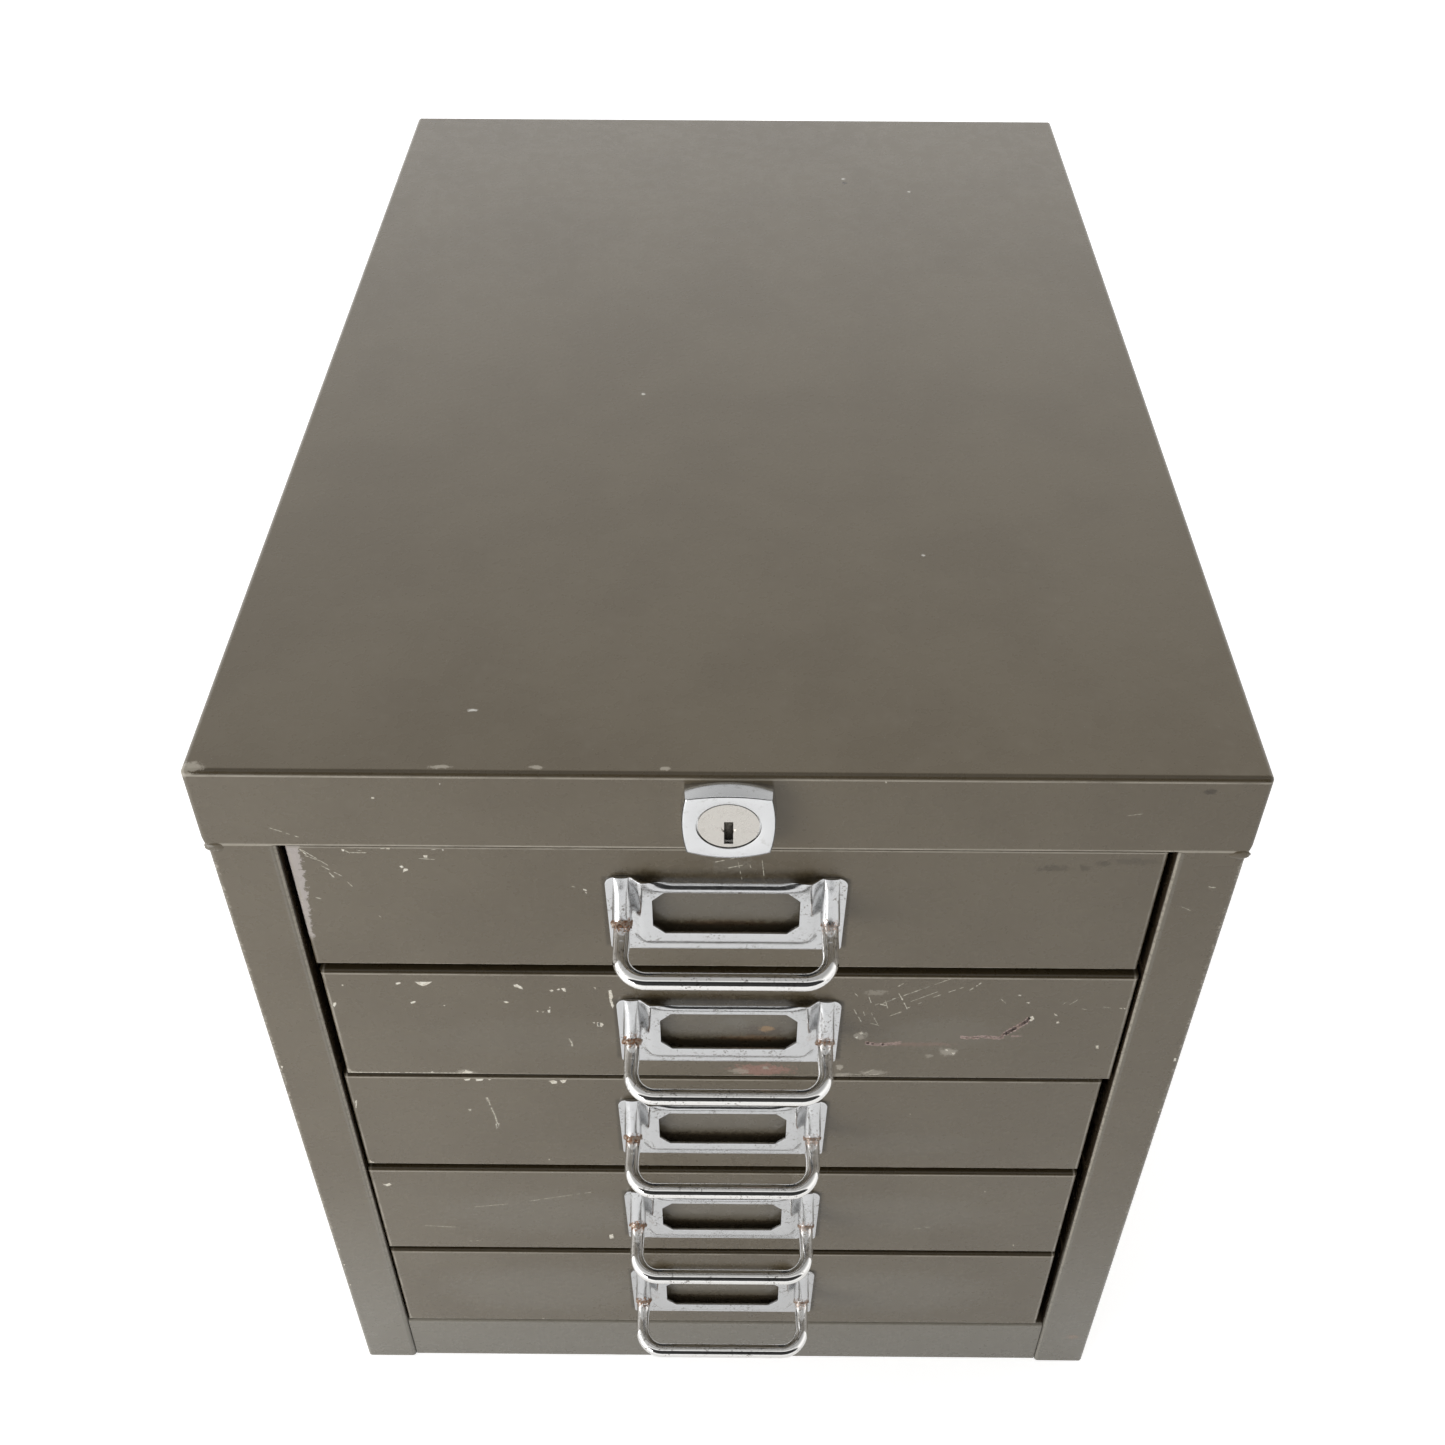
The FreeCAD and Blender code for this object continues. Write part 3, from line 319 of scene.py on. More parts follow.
def front_wear_and_light(number_down, origin):
    """Wear, dirt, painted highlights, painted shade and painted light of one drawer's front, drawn in the
    front's own frame.
    """
    def wear_and_light(place, colour):
        x, y, z = local_parts(place, origin)
        apart = calc("ABSOLUTE", x)
        below = calc("SUBTRACT", FRONT_TOP, z)
        inward = calc("SUBTRACT", FRONT_HALF, apart)
        from_left = calc("ADD", x, FRONT_HALF)
        ragged = cloud(place, RAGGED, 4.0, 0.75)
        slow = cloud(place, FRONT_SLOW, 2.0)
        height = calc("ADD", z, wander(ragged, FOOT_DARK_RAGGED))

        def patch(bands, upward):
            return times(band(apart, *bands[0]), band(upward, *bands[1]))

        coats = []
        for centre, half, strength, paint in PATCHES[number_down]:
            coats.append((times(spot(x, z, ragged, centre, half), strength), paint))
        if number_down == STRIP_DRAWER:
            limit = span(z, STRIP_FADE[0], FRONT_TOP, *STRIP_WIDTHS, False)
            reach = calc("SUBTRACT", from_left, limit)
            reach = calc("ADD", reach, wander(ragged, STRIP_RAGGED))
            coats.append((times(span(reach, *STRIP_BORDER, 1.0, 0.0), span(z, *STRIP_FADE),
                                span(y, *STRIP_FOLD, 1.0, 0.0), 0.9), BARE))
        if number_down == CORNER_DRAWER:
            reach = calc("ADD", from_left, times(z, CORNER_SLOPE))
            reach = calc("ADD", reach, wander(ragged, CORNER_RAGGED))
            coats.append((span(reach, *CORNER_BORDER, 0.8, 0.0), PALE_WEAR_AND_HIGHLIGHT))
        coats += [
            # Painted highlight and painted shade on the top fold, then painted highlights along the foot and
            # side folds
            (times(band(below, *TOP_HIGHLIGHT), span(slow, 0.30, 0.5, 0.35, 0.8)), PALE_WEAR_AND_HIGHLIGHT),
            (span(below, *FOLD_SHADE, 0.93, 0.0), GRIME_AND_SHADE),
            (times(band(z, *FOOT_HIGHLIGHT), span(slow, 0.35, 0.6, 0.15, 0.6)), PALE_WEAR_AND_HIGHLIGHT),
            (times(band(inward, *SIDE_HIGHLIGHT), span(slow, 0.4, 0.6, 0.2, 0.7)), PALE_WEAR_AND_HIGHLIGHT),
            # Dirt with painted shade over the plate, painted light inside the window, darkening along the
            # window's foot and painted shade in the crease beside the plate
            (times(patch(DIRT_AND_SHADE_OVER, z), span(ragged, 0.30, 0.62, 0.35, 1.0), 0.75), GRIME_AND_SHADE),
            (times(patch(LIGHT_INSIDE, z), 0.3), PAINTED_LIGHT),
            (times(patch(WINDOW_FOOT_DARK, height), 0.7), SOOT_AND_SHADE),
            (times(patch(SHADE_BESIDE, z), 0.6), GRIME_AND_SHADE),
        ]
        return coated(colour, coats)
    return wear_and_light


POST_INNER = 121.0
COVER_LOW = 298.9
COVER_TOP = 327.0
RAIL_TOP = 27.56
# Rust and dirt on the right post and at the fascia's right end, as x and z with half sizes
POST_SPOTS = (((133.5, 20.0), (3.0, 2.0), RUST), ((123.6, 45.6), (0.9, 1.1), GRIME_AND_SHADE),
              ((127.4, 38.4), (1.6, 0.8), GRIME_AND_SHADE), ((124.9, 322.2), (1.8, 1.0), GRIME_AND_SHADE))
# Specks on the top, as x and the way back from the front, with half sizes
TOP_SPECKS = (((-138.0, 1.8), (3.6, 2.2), PALE_WEAR_AND_HIGHLIGHT), ((-74.0, 2.4), (3.5, 0.8), PALE_WEAR_AND_HIGHLIGHT),
              ((-49.0, 2.4), (2.2, 0.8), PALE_WEAR_AND_HIGHLIGHT), ((-16.0, 2.2), (1.6, 0.9), PALE_WEAR_AND_HIGHLIGHT),
              ((45.9, 346.8), (0.9, 0.9), LINT), ((46.3, 343.1), (1.3, 1.1), SOOT_AND_SHADE),
              ((72.4, 335.1), (0.9, 0.9), LINT), ((-68.4, 23.6), (1.6, 0.7), LINT),
              ((-30.0, 180.0), (0.8, 0.8), LINT), ((58.0, 92.0), (0.7, 0.7), LINT))
TOP_CORNER = ((-139.6, 326.2), (2.2, 1.6))
TOP_SKIN = (325.9, 326.2)
# How far behind the front face wear, dirt and painted light and shade go, and how far the top fold's painted
# shade goes
NEAR_FRONT = (1.4, 2.2)
NEAR_FOLD = (1.1, 1.5)
# Painted highlight band and painted shade fade, counted down from the cover's top
COVER_HIGHLIGHT = (1.4, 1.75, 0.2)
COVER_FOLD_SHADE = (0.9, 1.25)
# Painted highlight band and the fade under the hem, counted up from the cover's lower edge
HEM_HIGHLIGHT = (-0.2, 0.45, 0.2)
UNDER_HEM = (-1.0, -0.3)
# Counted outwards from a post's inner edge: painted light on the bend, rubbed paint with a painted highlight,
# painted shadow on the inner return, the dark seam and the end of the rail's painted highlight
BEND_LIGHT_BAND = (0.5, 1.7, 0.3)
RUB_AND_HIGHLIGHT_BAND = (0.4, 0.75, 0.25)
INNER_SHADE_BAND = (-3.0, 0.2, 0.15)
SEAM_BAND = (-0.2, 0.4, 0.2)
RAIL_END = (-0.4, 0.0)
# Painted highlight band and the step, counted up from the bottom rail's top
RAIL_HIGHLIGHT = (-1.8, -1.4, 0.2)
RAIL_STEP = (-0.5, 0.5)
POST_EDGE = (137.8, 138.5)
# Height up to which painted light brightens the lower body
PAINTED_BOUNCE_HEIGHT = 150.0


def body_wear_and_light(place, colour):
    """Rubbed folds of the cover, posts and rail, with painted highlights along the folds, painted shade and
    painted light.
    """
    x, y, z = local_parts(place, Vector((0.0, front_y / MM, 0.0)))
    apart = calc("ABSOLUTE", x)
    below_top = calc("SUBTRACT", COVER_TOP, z)
    above_hem = calc("SUBTRACT", z, COVER_LOW)
    above_rail = calc("SUBTRACT", z, RAIL_TOP)
    from_inner = calc("SUBTRACT", apart, POST_INNER)
    ragged = cloud(place, RAGGED, 4.0, 0.75)
    slow = cloud(place, BODY_SLOW, 2.0)
    near = span(y, *NEAR_FRONT, 1.0, 0.0)
    broken = span(slow, 0.30, 0.55, 0.3, 0.85)
    below_hem = span(above_hem, *UNDER_HEM, 1.0, 0.0)
    under = times(below_hem, near)
    topmost = span(z, *TOP_SKIN)
    coats = [
        # Painted highlight along the cover's top fold
        (times(band(below_top, *COVER_HIGHLIGHT), near, broken), PALE_WEAR_AND_HIGHLIGHT),
        # Painted shade on the cover's top fold
        (times(span(below_top, *COVER_FOLD_SHADE, 1.0, 0.0), span(y, *NEAR_FOLD, 0.6, 0.0)), GRIME_AND_SHADE),
        # Painted highlight along the hem
        (times(band(above_hem, *HEM_HIGHLIGHT), near, span(slow, 0.3, 0.55, 0.6, 1.0)), PALE_WEAR_AND_HIGHLIGHT),
        # Painted light on the post's inner bend
        (times(under, band(from_inner, *BEND_LIGHT_BAND), 0.4), PAINTED_LIGHT),
        # Rubbed paint and painted highlight along the post's inner edge
        (times(under, band(from_inner, *RUB_AND_HIGHLIGHT_BAND), span(ragged, 0.36, 0.55, 0.25, 1.0)),
         PALE_WEAR_AND_HIGHLIGHT),
        # Painted shadow on the post's inner return, in the gap beside the drawers
        (times(below_hem, band(from_inner, *INNER_SHADE_BAND), span(above_rail, *RAIL_STEP), 0.94),
         SOOT_AND_SHADE),
        (times(under, span(apart, *POST_EDGE), span(ragged, 0.52, 0.60, 0.0, 0.8)), PALE_WEAR_AND_HIGHLIGHT),
        # Painted highlight along the bottom rail's top fold
        (times(band(above_rail, *RAIL_HIGHLIGHT), span(from_inner, *RAIL_END, 1.0, 0.0), broken,
               0.7), PALE_WEAR_AND_HIGHLIGHT),
    ]
    for centre, half, paint in POST_SPOTS:
        coats.append((times(spot(x, z, ragged, centre, half), near, 0.8), paint))
    coats += [
        (times(near, band(from_inner, *SEAM_BAND), span(above_rail, *RAIL_STEP, 0.75, 0.0)),
         GRIME_AND_SHADE),
        # Painted light, as from the floor, strongest at the foot
        (times(span(z, 0.0, PAINTED_BOUNCE_HEIGHT, 0.75, 0.0), near), PAINTED_LIGHT),
        (times(spot(x, z, ragged, *TOP_CORNER), near, 0.9), PALE_WEAR_AND_HIGHLIGHT),
    ]
    for centre, half, paint in TOP_SPECKS:
        coats.append((times(spot(x, y, ragged, centre, half), topmost, 0.9), paint))
    return coated(colour, coats)


# Where a wire leaves its hood, and which way it leans there
JOINT_PLACE = (28.95, -4.3, 25.4)
JOINT_LEAN = (0.0, -0.84, -0.54)
# How far rust spreads round a joint and along the wire, how ragged it ends and its grain
JOINT_REACH = (3.6, 5.6)
JOINT_ALONG = (0.4, 1.8)
JOINT_RAGGED = 2.6
JOINT_GRAIN = 0.8
JOINT_SIDE = 8.0


def joint_rust(place):
    """1 near the brazed joints of any drawer's handle, worse on the left."""
    first = drawer_origin(DRAWERS[0])
    last = drawer_origin(DRAWERS[-1])
    x, y, z = local_parts(place, Vector((0.0, front_y / MM, last.z)))
    step = (first.z - last.z) / (len(DRAWERS) - 1)
    local = (calc("ABSOLUTE", x), y, calc("FLOORED_MODULO", z, step))
    total = 0.0
    along = 0.0
    for value, centre, lean in zip(local, JOINT_PLACE, JOINT_LEAN):
        apart = calc("SUBTRACT", value, centre)
        total = calc("ADD", times(apart, apart), total)
        along = calc("ADD", times(apart, lean), along)
    ragged = wander(cloud(place, JOINT_GRAIN, 4.0, 0.75), JOINT_RAGGED)
    reach = calc("ADD", calc("ABSOLUTE", along), ragged)
    near = span(calc("SQRT", total), *JOINT_REACH, 1.0, 0.0)
    side = span(x, -JOINT_SIDE, JOINT_SIDE, 0.95, 0.6)
    return times(span(reach, *JOINT_ALONG, 1.0, 0.0), near, side)


# Blotch sizes on the chrome: haze, coarse pits, where the pits lie, brown rust and fine pits
CHROME_HAZE = 2.2
CHROME_PIT = 0.9
CHROME_PATCH = 7.0
CHROME_BROWN = 0.5
CHROME_FINE = 0.35
DULLING = (0.8, 0.79, 0.77)


def chrome(name, colour, low, high, pit_depth, rusted=False):
    """Chromed steel, with faint haze and pits, and rust where it is brazed."""
    material, tree, shader = new_material(name)
    place = place_of(tree)
    haze = cloud(place, CHROME_HAZE, 4.0, 0.7)
    dull = rgb(*(part * share for part, share in zip(colour, DULLING)))
    shine = blend_colour(span(haze, 0.55, 0.8), colour, dull)
    rough = span(haze, 0.35, 0.75, low, high)
    metallic = 1.0
    if rusted:
        pit = times(span(cloud(place, CHROME_PIT, 3.0, 0.7), 0.56, 0.62),
                    span(cloud(place, CHROME_PATCH, 1.0), 0.47, 0.60), 0.75)
        mask = joint_rust(place)
        brown = span(cloud(place, CHROME_BROWN, 2.0), 0.40, 0.60)
        shine = coated(shine, ((pit, PITTED), (mask, blend_colour(brown, RUST, OIL))))
        rough = calc("ADD", rough, times(mask, 0.45))
        metallic = span(mask, 0.3, 0.9, 1.0, 0.25)
    surface(shader, base_color=shine, roughness=rough, metallic=metallic,
            normal=bumped(cloud(place, CHROME_FINE, 3.0, 0.8), pit_depth))
    return material


SPOT_PATCH = 0.8
SPOT_DEPTH = 0.03


def bare_spot(name, pale, dull):
    """Primer and bare metal where the enamel has gone."""
    material, tree, shader = new_material(name)
    patch = cloud(place_of(tree), SPOT_PATCH, 3.0, 0.7)
    surface(shader, base_color=blend_colour(span(patch, 0.40, 0.62), pale, dull),
            roughness=span(patch, 0.3, 0.7, 0.5, 0.75), normal=bumped(patch, SPOT_DEPTH))
    return material


BRAZE_PATCH = 0.9
BRAZE_GRAIN = 0.25
BRAZE_DEPTH = 0.06


def rust(name):
    """Rusty brazing: brown with grey, matt and grainy."""
    material, tree, shader = new_material(name)
    place = place_of(tree)
    patch = cloud(place, BRAZE_PATCH, 4.0, 0.7)
    surface(shader, base_color=blend_colour(span(patch, 0.4, 0.62), BRAZE_GREY, BRAZE_BROWN),
            metallic=span(patch, 0.4, 0.55, 0.8, 0.0), roughness=span(patch, 0.35, 0.6, 0.35, 0.85),
            normal=bumped(cloud(place, BRAZE_GRAIN, 2.0), BRAZE_DEPTH))
    return material


# Each plated finish: colour, roughness from and to, depth of its pits, and whether it rusts
PLATINGS = {
    "plate_chrome": (rgb(0.59, 0.595, 0.60), 0.12, 0.28, 0.012, True),
    "bow_chrome": (rgb(0.80, 0.79, 0.77), 0.03, 0.12, 0.004, True),
    "lock_chrome": (rgb(0.69, 0.695, 0.70), 0.14, 0.26, 0.003),
    "plug_nickel": (rgb(0.585, 0.56, 0.52), 0.20, 0.34, 0.012),
    "zinc_steel": (rgb(0.50, 0.50, 0.49), 0.35, 0.5, 0.01),
}
finishes = {name: chrome(name, *values) for name, values in PLATINGS.items()}
finishes["enamel"] = enamel("enamel_inside")
enamel_body = enamel("enamel_body", body_wear_and_light)
braze_rust = rust("braze_rust")
chip_pale = bare_spot("chip_pale", rgb(0.92, 0.88, 0.77), rgb(0.66, 0.60, 0.49))
scratch_pale = bare_spot("scratch_pale", rgb(0.74, 0.71, 0.60), rgb(0.50, 0.46, 0.37))
rub_pink = bare_spot("rub_pink", rgb(0.60, 0.46, 0.42), rgb(0.30, 0.21, 0.17))

node_finish = {row["node"]: row["material_slot"] for row in frame["record"]["subparts"]}
worn_and_lit_nodes = {name: enamel_body for name in ("top_cover", "left_side", "right_side", "base_pan")}
for number_down in DRAWERS:
    worn_and_lit = enamel("enamel_front_%d" % number_down, front_wear_and_light(number_down, drawer_origin(number_down)))
    worn_and_lit_nodes["drawer_%d_front" % number_down] = worn_and_lit
for node_name, node_object in frame["nodes"].items():
    finish = worn_and_lit_nodes.get(node_name, finishes[node_finish[node_name]])
    for slot in node_object.material_slots:
        slot.material = finish


# Mesh helpers

# The sharpest turn in degrees that is still shaded smooth, on each kind of surface
HARD_CREASE = 30.0
SHEET_CREASE = 40.0
SOFT_CREASE = 60.0
LUMP_CREASE = 80.0

def wrap(rings, closed=True, ends=True):
    """Corners and faces of a skin over equal rings of points; ends closes the first and last."""
    count = len(rings[0])
    corners = [point for ring in rings for point in ring]
    faces = []
    for row in range(len(rings) - 1):
        for column in range(count if closed else count - 1):
            following = (column + 1) % count
            low = row * count
            high = low + count
            faces.append((low + column, low + following, high + following, high + column))
    if ends:
        faces.append(tuple(range(count))[::-1])
        last = (len(rings) - 1) * count
        faces.append(tuple(range(last, last + count)))
    return corners, faces


def joined(parts):
    """Several (corners, faces) pairs as one."""
    corners = []
    faces = []
    for some_corners, some_faces in parts:
        start = len(corners)
        corners += some_corners
        faces += [tuple(start + index for index in face) for face in some_faces]
    return corners, faces


def finish_mesh(mesh, crease):
    """Turn the faces outwards and smooth them, with edges sharper than crease degrees kept."""
    work = bmesh.new()
    work.from_mesh(mesh)
    bmesh.ops.recalc_face_normals(work, faces=work.faces)
    work.to_mesh(mesh)
    work.free()
    mesh.shade_smooth()
    mesh.set_sharp_from_angle(angle=radians(crease))


def add_object(name, data):
    thing = bpy.data.objects.new(name, data)
    bpy.context.scene.collection.objects.link(thing)
    return thing


def new_piece(name, data, material, body, crease, stands_for=()):
    """A piece in millimetres that rides on a body and wears the material it is given."""
    corners, faces = data
    mesh = bpy.data.meshes.new(name)
    mesh.from_pydata([Vector(corner) * MM for corner in corners], [], faces)
    finish_mesh(mesh, crease)
    mesh.materials.append(material)
    piece = add_object(name, mesh)
    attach(piece, body)
    if stands_for:
        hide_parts(*stands_for)
    return piece


def ring_points(centre, first, second, sides):
    """Points round a centre, first and second being the ring's two half axes."""
    angles = [tau * turn / sides for turn in range(sides)]
    return [centre + (cos(angle) * first + sin(angle) * second) for angle in angles]


def arc_points(centre, first, second, radius, start, end, steps):
    """Points on an arc in the plane of two directions, its angles in degrees."""
    points = []
    for step in range(steps + 1):
        angle = radians(start + (end - start) * step / steps)
        offset = cos(angle) * Vector(first) + sin(angle) * Vector(second)
        points.append(Vector(centre) + radius * offset)
    return points


# Handles. Lengths are in the drawer's own frame: x from its middle, y from its front's
# face and z from its front's lower edge.

PLATE_HALF = 33.5
PLATE_LOW = 9.7
PLATE_HIGH = 40.5
PLATE_SHEET = 0.75
PLATE_CORNER = 3.0
PLATE_LOW_CORNER = 1.2
PLATE_TAPER = 0.7
PLATE_STEP = 0.6
PANEL_HALF = 23.6
PANEL_LOW = 15.4
PANEL_RISE = 2.25
PANEL_FACET = 2.8
PANEL_CORNER = 2.4
PANEL_BEND = 0.2
# Where the panel's top edge starts to roll back, the roll's length and its turn in degrees
TOP_ROLL = (38.6, 1.75, 66.0)
TOP_ROLLS = {1: (37.1, 3.0, 74.0)}
ROLL_FADE = 9.0
WINDOW_HALF = 20.45
WINDOW_LOW = 19.3
WINDOW_HIGH = 36.8
WINDOW_CLIP = 3.4
RIM_ROUND = 0.16
SHEET_WAVE = 0.05
WAVE_LENGTH_SHARE = 0.07
WAVE_APART = 7.0
LEAST_TURN = 0.5
CUT_GAP = 0.02
CORNER_CATCH = 0.4
RIM_ANGLE = 60.0


def eased(share):
    """A straight rise from 0 to 1 whose two ends bend softly."""
    if share <= -PANEL_BEND:
        return 0.0
    if share < PANEL_BEND:
        return (share + PANEL_BEND) ** 2 / (4 * PANEL_BEND)
    if share <= 1 - PANEL_BEND:
        return share
    if share < 1 + PANEL_BEND:
        return 1 - (1 + PANEL_BEND - share) ** 2 / (4 * PANEL_BEND)
    return 1.0


def panel_depth_at(x, z):
    """How far the pressed sheet stands out at a point of the plate."""
    across = PANEL_HALF - abs(x)
    up = z - PANEL_LOW
    if across < PANEL_CORNER and up < PANEL_CORNER:
        inside = PANEL_CORNER - hypot(PANEL_CORNER - across, PANEL_CORNER - up)
    else:
        inside = min(across, up)
    return PANEL_RISE * eased(inside / PANEL_FACET + 1)


def rolled(x, z, number_down):
    """How far back the panel's rolled top strip has gone at a point, and its new height."""
    low, length, turn = TOP_ROLLS.get(number_down, TOP_ROLL)
    if z <= low:
        return 0.0, z
    share = (z - low) / (PLATE_HIGH - low)
    sides = min(max((PANEL_HALF - abs(x)) / ROLL_FADE, 0.0), 1.0)
    sides = sides * sides * (3 - 2 * sides)
    reach = (PLATE_HIGH - low) * (1 - sides) + length * sides
    angle = radians(max(turn * sides, LEAST_TURN))
    radius = reach / angle
    return radius * (1 - cos(angle * share)), low + radius * sin(angle * share)


def window_planes():
    """A point and a direction outwards for each of the window's eight edges."""
    middle = (WINDOW_LOW + WINDOW_HIGH) / 2
    half = (WINDOW_HIGH - WINDOW_LOW) / 2
    planes = []
    for side in SIDES:
        planes.append(((WINDOW_HALF * side, middle), (side, 0)))
        planes.append(((0, middle + half * side), (0, side)))
        for other in SIDES:
            corner = ((WINDOW_HALF - WINDOW_CLIP) * side, middle + half * other)
            planes.append((corner, (side * sqrt(0.5), other * sqrt(0.5))))
    return planes


def outside_corner(x, z):
    """How far a point lies outside the plate's round corner, and that corner's centre."""
    radius = PLATE_CORNER if z > (PLATE_LOW + PLATE_HIGH) / 2 else PLATE_LOW_CORNER
    centre_x = copysign(PLATE_HALF - radius, x)
    centre_z = PLATE_HIGH - radius if z > (PLATE_LOW + PLATE_HIGH) / 2 else PLATE_LOW + radius
    beyond_x = abs(x) > abs(centre_x)
    beyond_z = z > centre_z if z > (PLATE_LOW + PLATE_HIGH) / 2 else z < centre_z
    if not (beyond_x and beyond_z):
        return 0.0, centre_x, centre_z, radius
    return hypot(x - centre_x, z - centre_z) - radius, centre_x, centre_z, radius


def plate_mesh(number_down):
    """The pressed sheet of one handle's plate, as corners and faces."""
    work = bmesh.new()
    columns = round(PLATE_HALF * 2 / PLATE_STEP)
    rows = round((PLATE_HIGH - PLATE_LOW) / PLATE_STEP)
    bmesh.ops.create_grid(work, x_segments=columns, y_segments=rows, size=0.5)
    for corner in work.verts:
        corner.co = Vector((corner.co.x * PLATE_HALF * 2, 0.0,
                            PLATE_LOW + (corner.co.y + 0.5) * (PLATE_HIGH - PLATE_LOW)))
    planes = window_planes()
    for place, outwards in planes:
        every = work.verts[:] + work.edges[:] + work.faces[:]
        bmesh.ops.bisect_plane(work, geom=every, dist=CUT_GAP, plane_co=(place[0], 0.0, place[1]),
                               plane_no=(outwards[0], 0.0, outwards[1]))
    gone = []
    for face in work.faces:
        middle = face.calc_center_median()
        in_window = all((middle.x - place[0]) * outwards[0] + (middle.z - place[1]) * outwards[1] < 0
                        for place, outwards in planes)
        if in_window or outside_corner(middle.x, middle.z)[0] > 0:
            gone.append(face)
    bmesh.ops.delete(work, geom=gone, context="FACES")
    for corner in work.verts:
        x, z = corner.co.x, corner.co.z
        beyond, centre_x, centre_z, radius = outside_corner(x, z)
        if corner.is_boundary and beyond and beyond > -CORNER_CATCH:
            away = Vector((x - centre_x, z - centre_z)).normalized() * radius
            x, z = centre_x + away.x, centre_z + away.y
        wave = noise.noise(Vector((x * WAVE_LENGTH_SHARE, z * WAVE_LENGTH_SHARE, number_down * WAVE_APART)))
        depth = PLATE_SHEET + panel_depth_at(x, z) + SHEET_WAVE * wave
        taper = PLATE_TAPER * (PLATE_HIGH - z) / (PLATE_HIGH - PLATE_LOW)
        wing = max(abs(x) - PANEL_HALF - PANEL_FACET, 0.0) / (PLATE_HALF - PANEL_HALF - PANEL_FACET)
        back, height = rolled(x, z, number_down)
        corner.co = Vector((x - copysign(taper * wing, x), back - depth, height))
    bmesh.ops.recalc_face_normals(work, faces=work.faces)
    if sum(face.normal.y for face in work.faces) > 0:
        bmesh.ops.reverse_faces(work, faces=work.faces)
    bmesh.ops.solidify(work, geom=work.faces[:], thickness=PLATE_SHEET)
    work.normal_update()
    sharp = radians(RIM_ANGLE)
    rims = [edge for edge in work.edges if edge.is_manifold and edge.calc_face_angle() > sharp]
    bmesh.ops.bevel(work, geom=rims, offset=RIM_ROUND, offset_type="OFFSET", segments=2,
                    profile=0.5, affect="EDGES", clamp_overlap=True)
    work.verts.index_update()
    corners = [corner.co.copy() for corner in work.verts]
    faces = [tuple(corner.index for corner in face.verts) for face in work.faces]
    work.free()
    return corners, faces


def moved(data, origin):
    corners, faces = data
    return [Vector(corner) + origin for corner in corners], faces


WIRE = 2.36
WIRE_SIDES = 28
WIRE_ACROSS = 28.95
WIRE_ROOT = 24.3
WIRE_DROOP = radians(8.5)
WIRE_REACH = 21.0
WIRE_BEND = 7.5
STRAIGHT_SHARE = 0.75
ELBOW_STEPS = 6
BEND_STEPS = 14
HOOD_STEPS = 5
# The wire's elbow under its hood, as y and z
ELBOW = ((-1.2, 28.6), (-2.5, 26.5), (-4.2, 25.15), (-6.0, 24.1), (-7.8, 23.38))
# The hood's middle line as y and z, and its half width and half depth there
HOOD = ((-0.72, 40.5, 2.20, 0.45), (-0.75, 38.7, 2.28, 1.10), (-0.85, 36.6, 2.40, 1.80),
        (-1.15, 33.6, 2.55, 2.40), (-2.0, 30.0, 2.68, 2.70), (-2.8, 27.6, 2.76, 2.76),
        (-3.5, 26.2, 2.74, 2.74), (-4.3, 25.25, 2.70, 2.70))
HOOD_BACK = -0.03
MOUTH = (-4.35, 25.15)


def smooth_line(points, steps):
    """A smooth run of points through the given ones."""
    line = []
    count = len(points)
    for index in range(count - 1):
        corners = [Vector(points[min(max(index + shift, 0), count - 1)]) for shift in (-1, 0, 1, 2)]
        for step in range(steps):
            share = step / steps
            line.append(0.5 * (2 * corners[1] + (corners[2] - corners[0]) * share
                               + (2 * corners[0] - 5 * corners[1] + 4 * corners[2] - corners[3]) * share ** 2
                               + (3 * corners[1] - corners[0] - 3 * corners[2] + corners[3]) * share ** 3))
    line.append(Vector(points[-1]))
    return line


def bow_mesh():
    """The whole bent wire, from inside one hood to inside the other."""
    along = Vector((0.0, -cos(WIRE_DROOP), -sin(WIRE_DROOP)))
    straight = WIRE_REACH / cos(WIRE_DROOP) - WIRE_BEND
    half = [(-WIRE_ACROSS, y, z) for y, z in ELBOW]
    half.append(Vector((-WIRE_ACROSS, 0.0, WIRE_ROOT)) + along * straight * STRAIGHT_SHARE)
    left = smooth_line(half, ELBOW_STEPS)
    centre = Vector((WIRE_BEND - WIRE_ACROSS, 0.0, WIRE_ROOT)) + along * straight
    left += arc_points(centre, (-1.0, 0.0, 0.0), along, WIRE_BEND, 0.0, 90.0, BEND_STEPS)
    right = [Vector((-point.x, point.y, point.z)) for point in reversed(left)]
    path = left + right
    rings = []
    first = None
    for index, point in enumerate(path):
        before = path[max(index - 1, 0)]
        after = path[min(index + 1, len(path) - 1)]
        tangent = (after - before).normalized()
        if first is None:
            first = tangent.cross(Vector((1.0, 0.0, 0.0))).normalized()
        first = (first - tangent * first.dot(tangent)).normalized()
        second = tangent.cross(first)
        rings.append(ring_points(point, WIRE * first, WIRE * second, WIRE_SIDES))
    return wrap(rings)


def hood_mesh(side):
    """The half-round hood over one end of the wire, flat at the back."""
    line = smooth_line(HOOD, HOOD_STEPS)
    rings = []
    for index, (y, z, half_width, half_depth) in enumerate(line):
        before = line[max(index - 1, 0)]
        after = line[min(index + 1, len(line) - 1)]
        along = Vector((0.0, after[0] - before[0], after[1] - before[1])).normalized()
        out = Vector((0.0, along.z, -along.y))
        centre = Vector((WIRE_ACROSS * side, y, z))
        ring = ring_points(centre, Vector((half_width, 0.0, 0.0)), out * half_depth, WIRE_SIDES)
        rings.append([Vector((point.x, min(point.y, HOOD_BACK), min(point.z, PLATE_HIGH))) for point in ring])
    return wrap(rings)


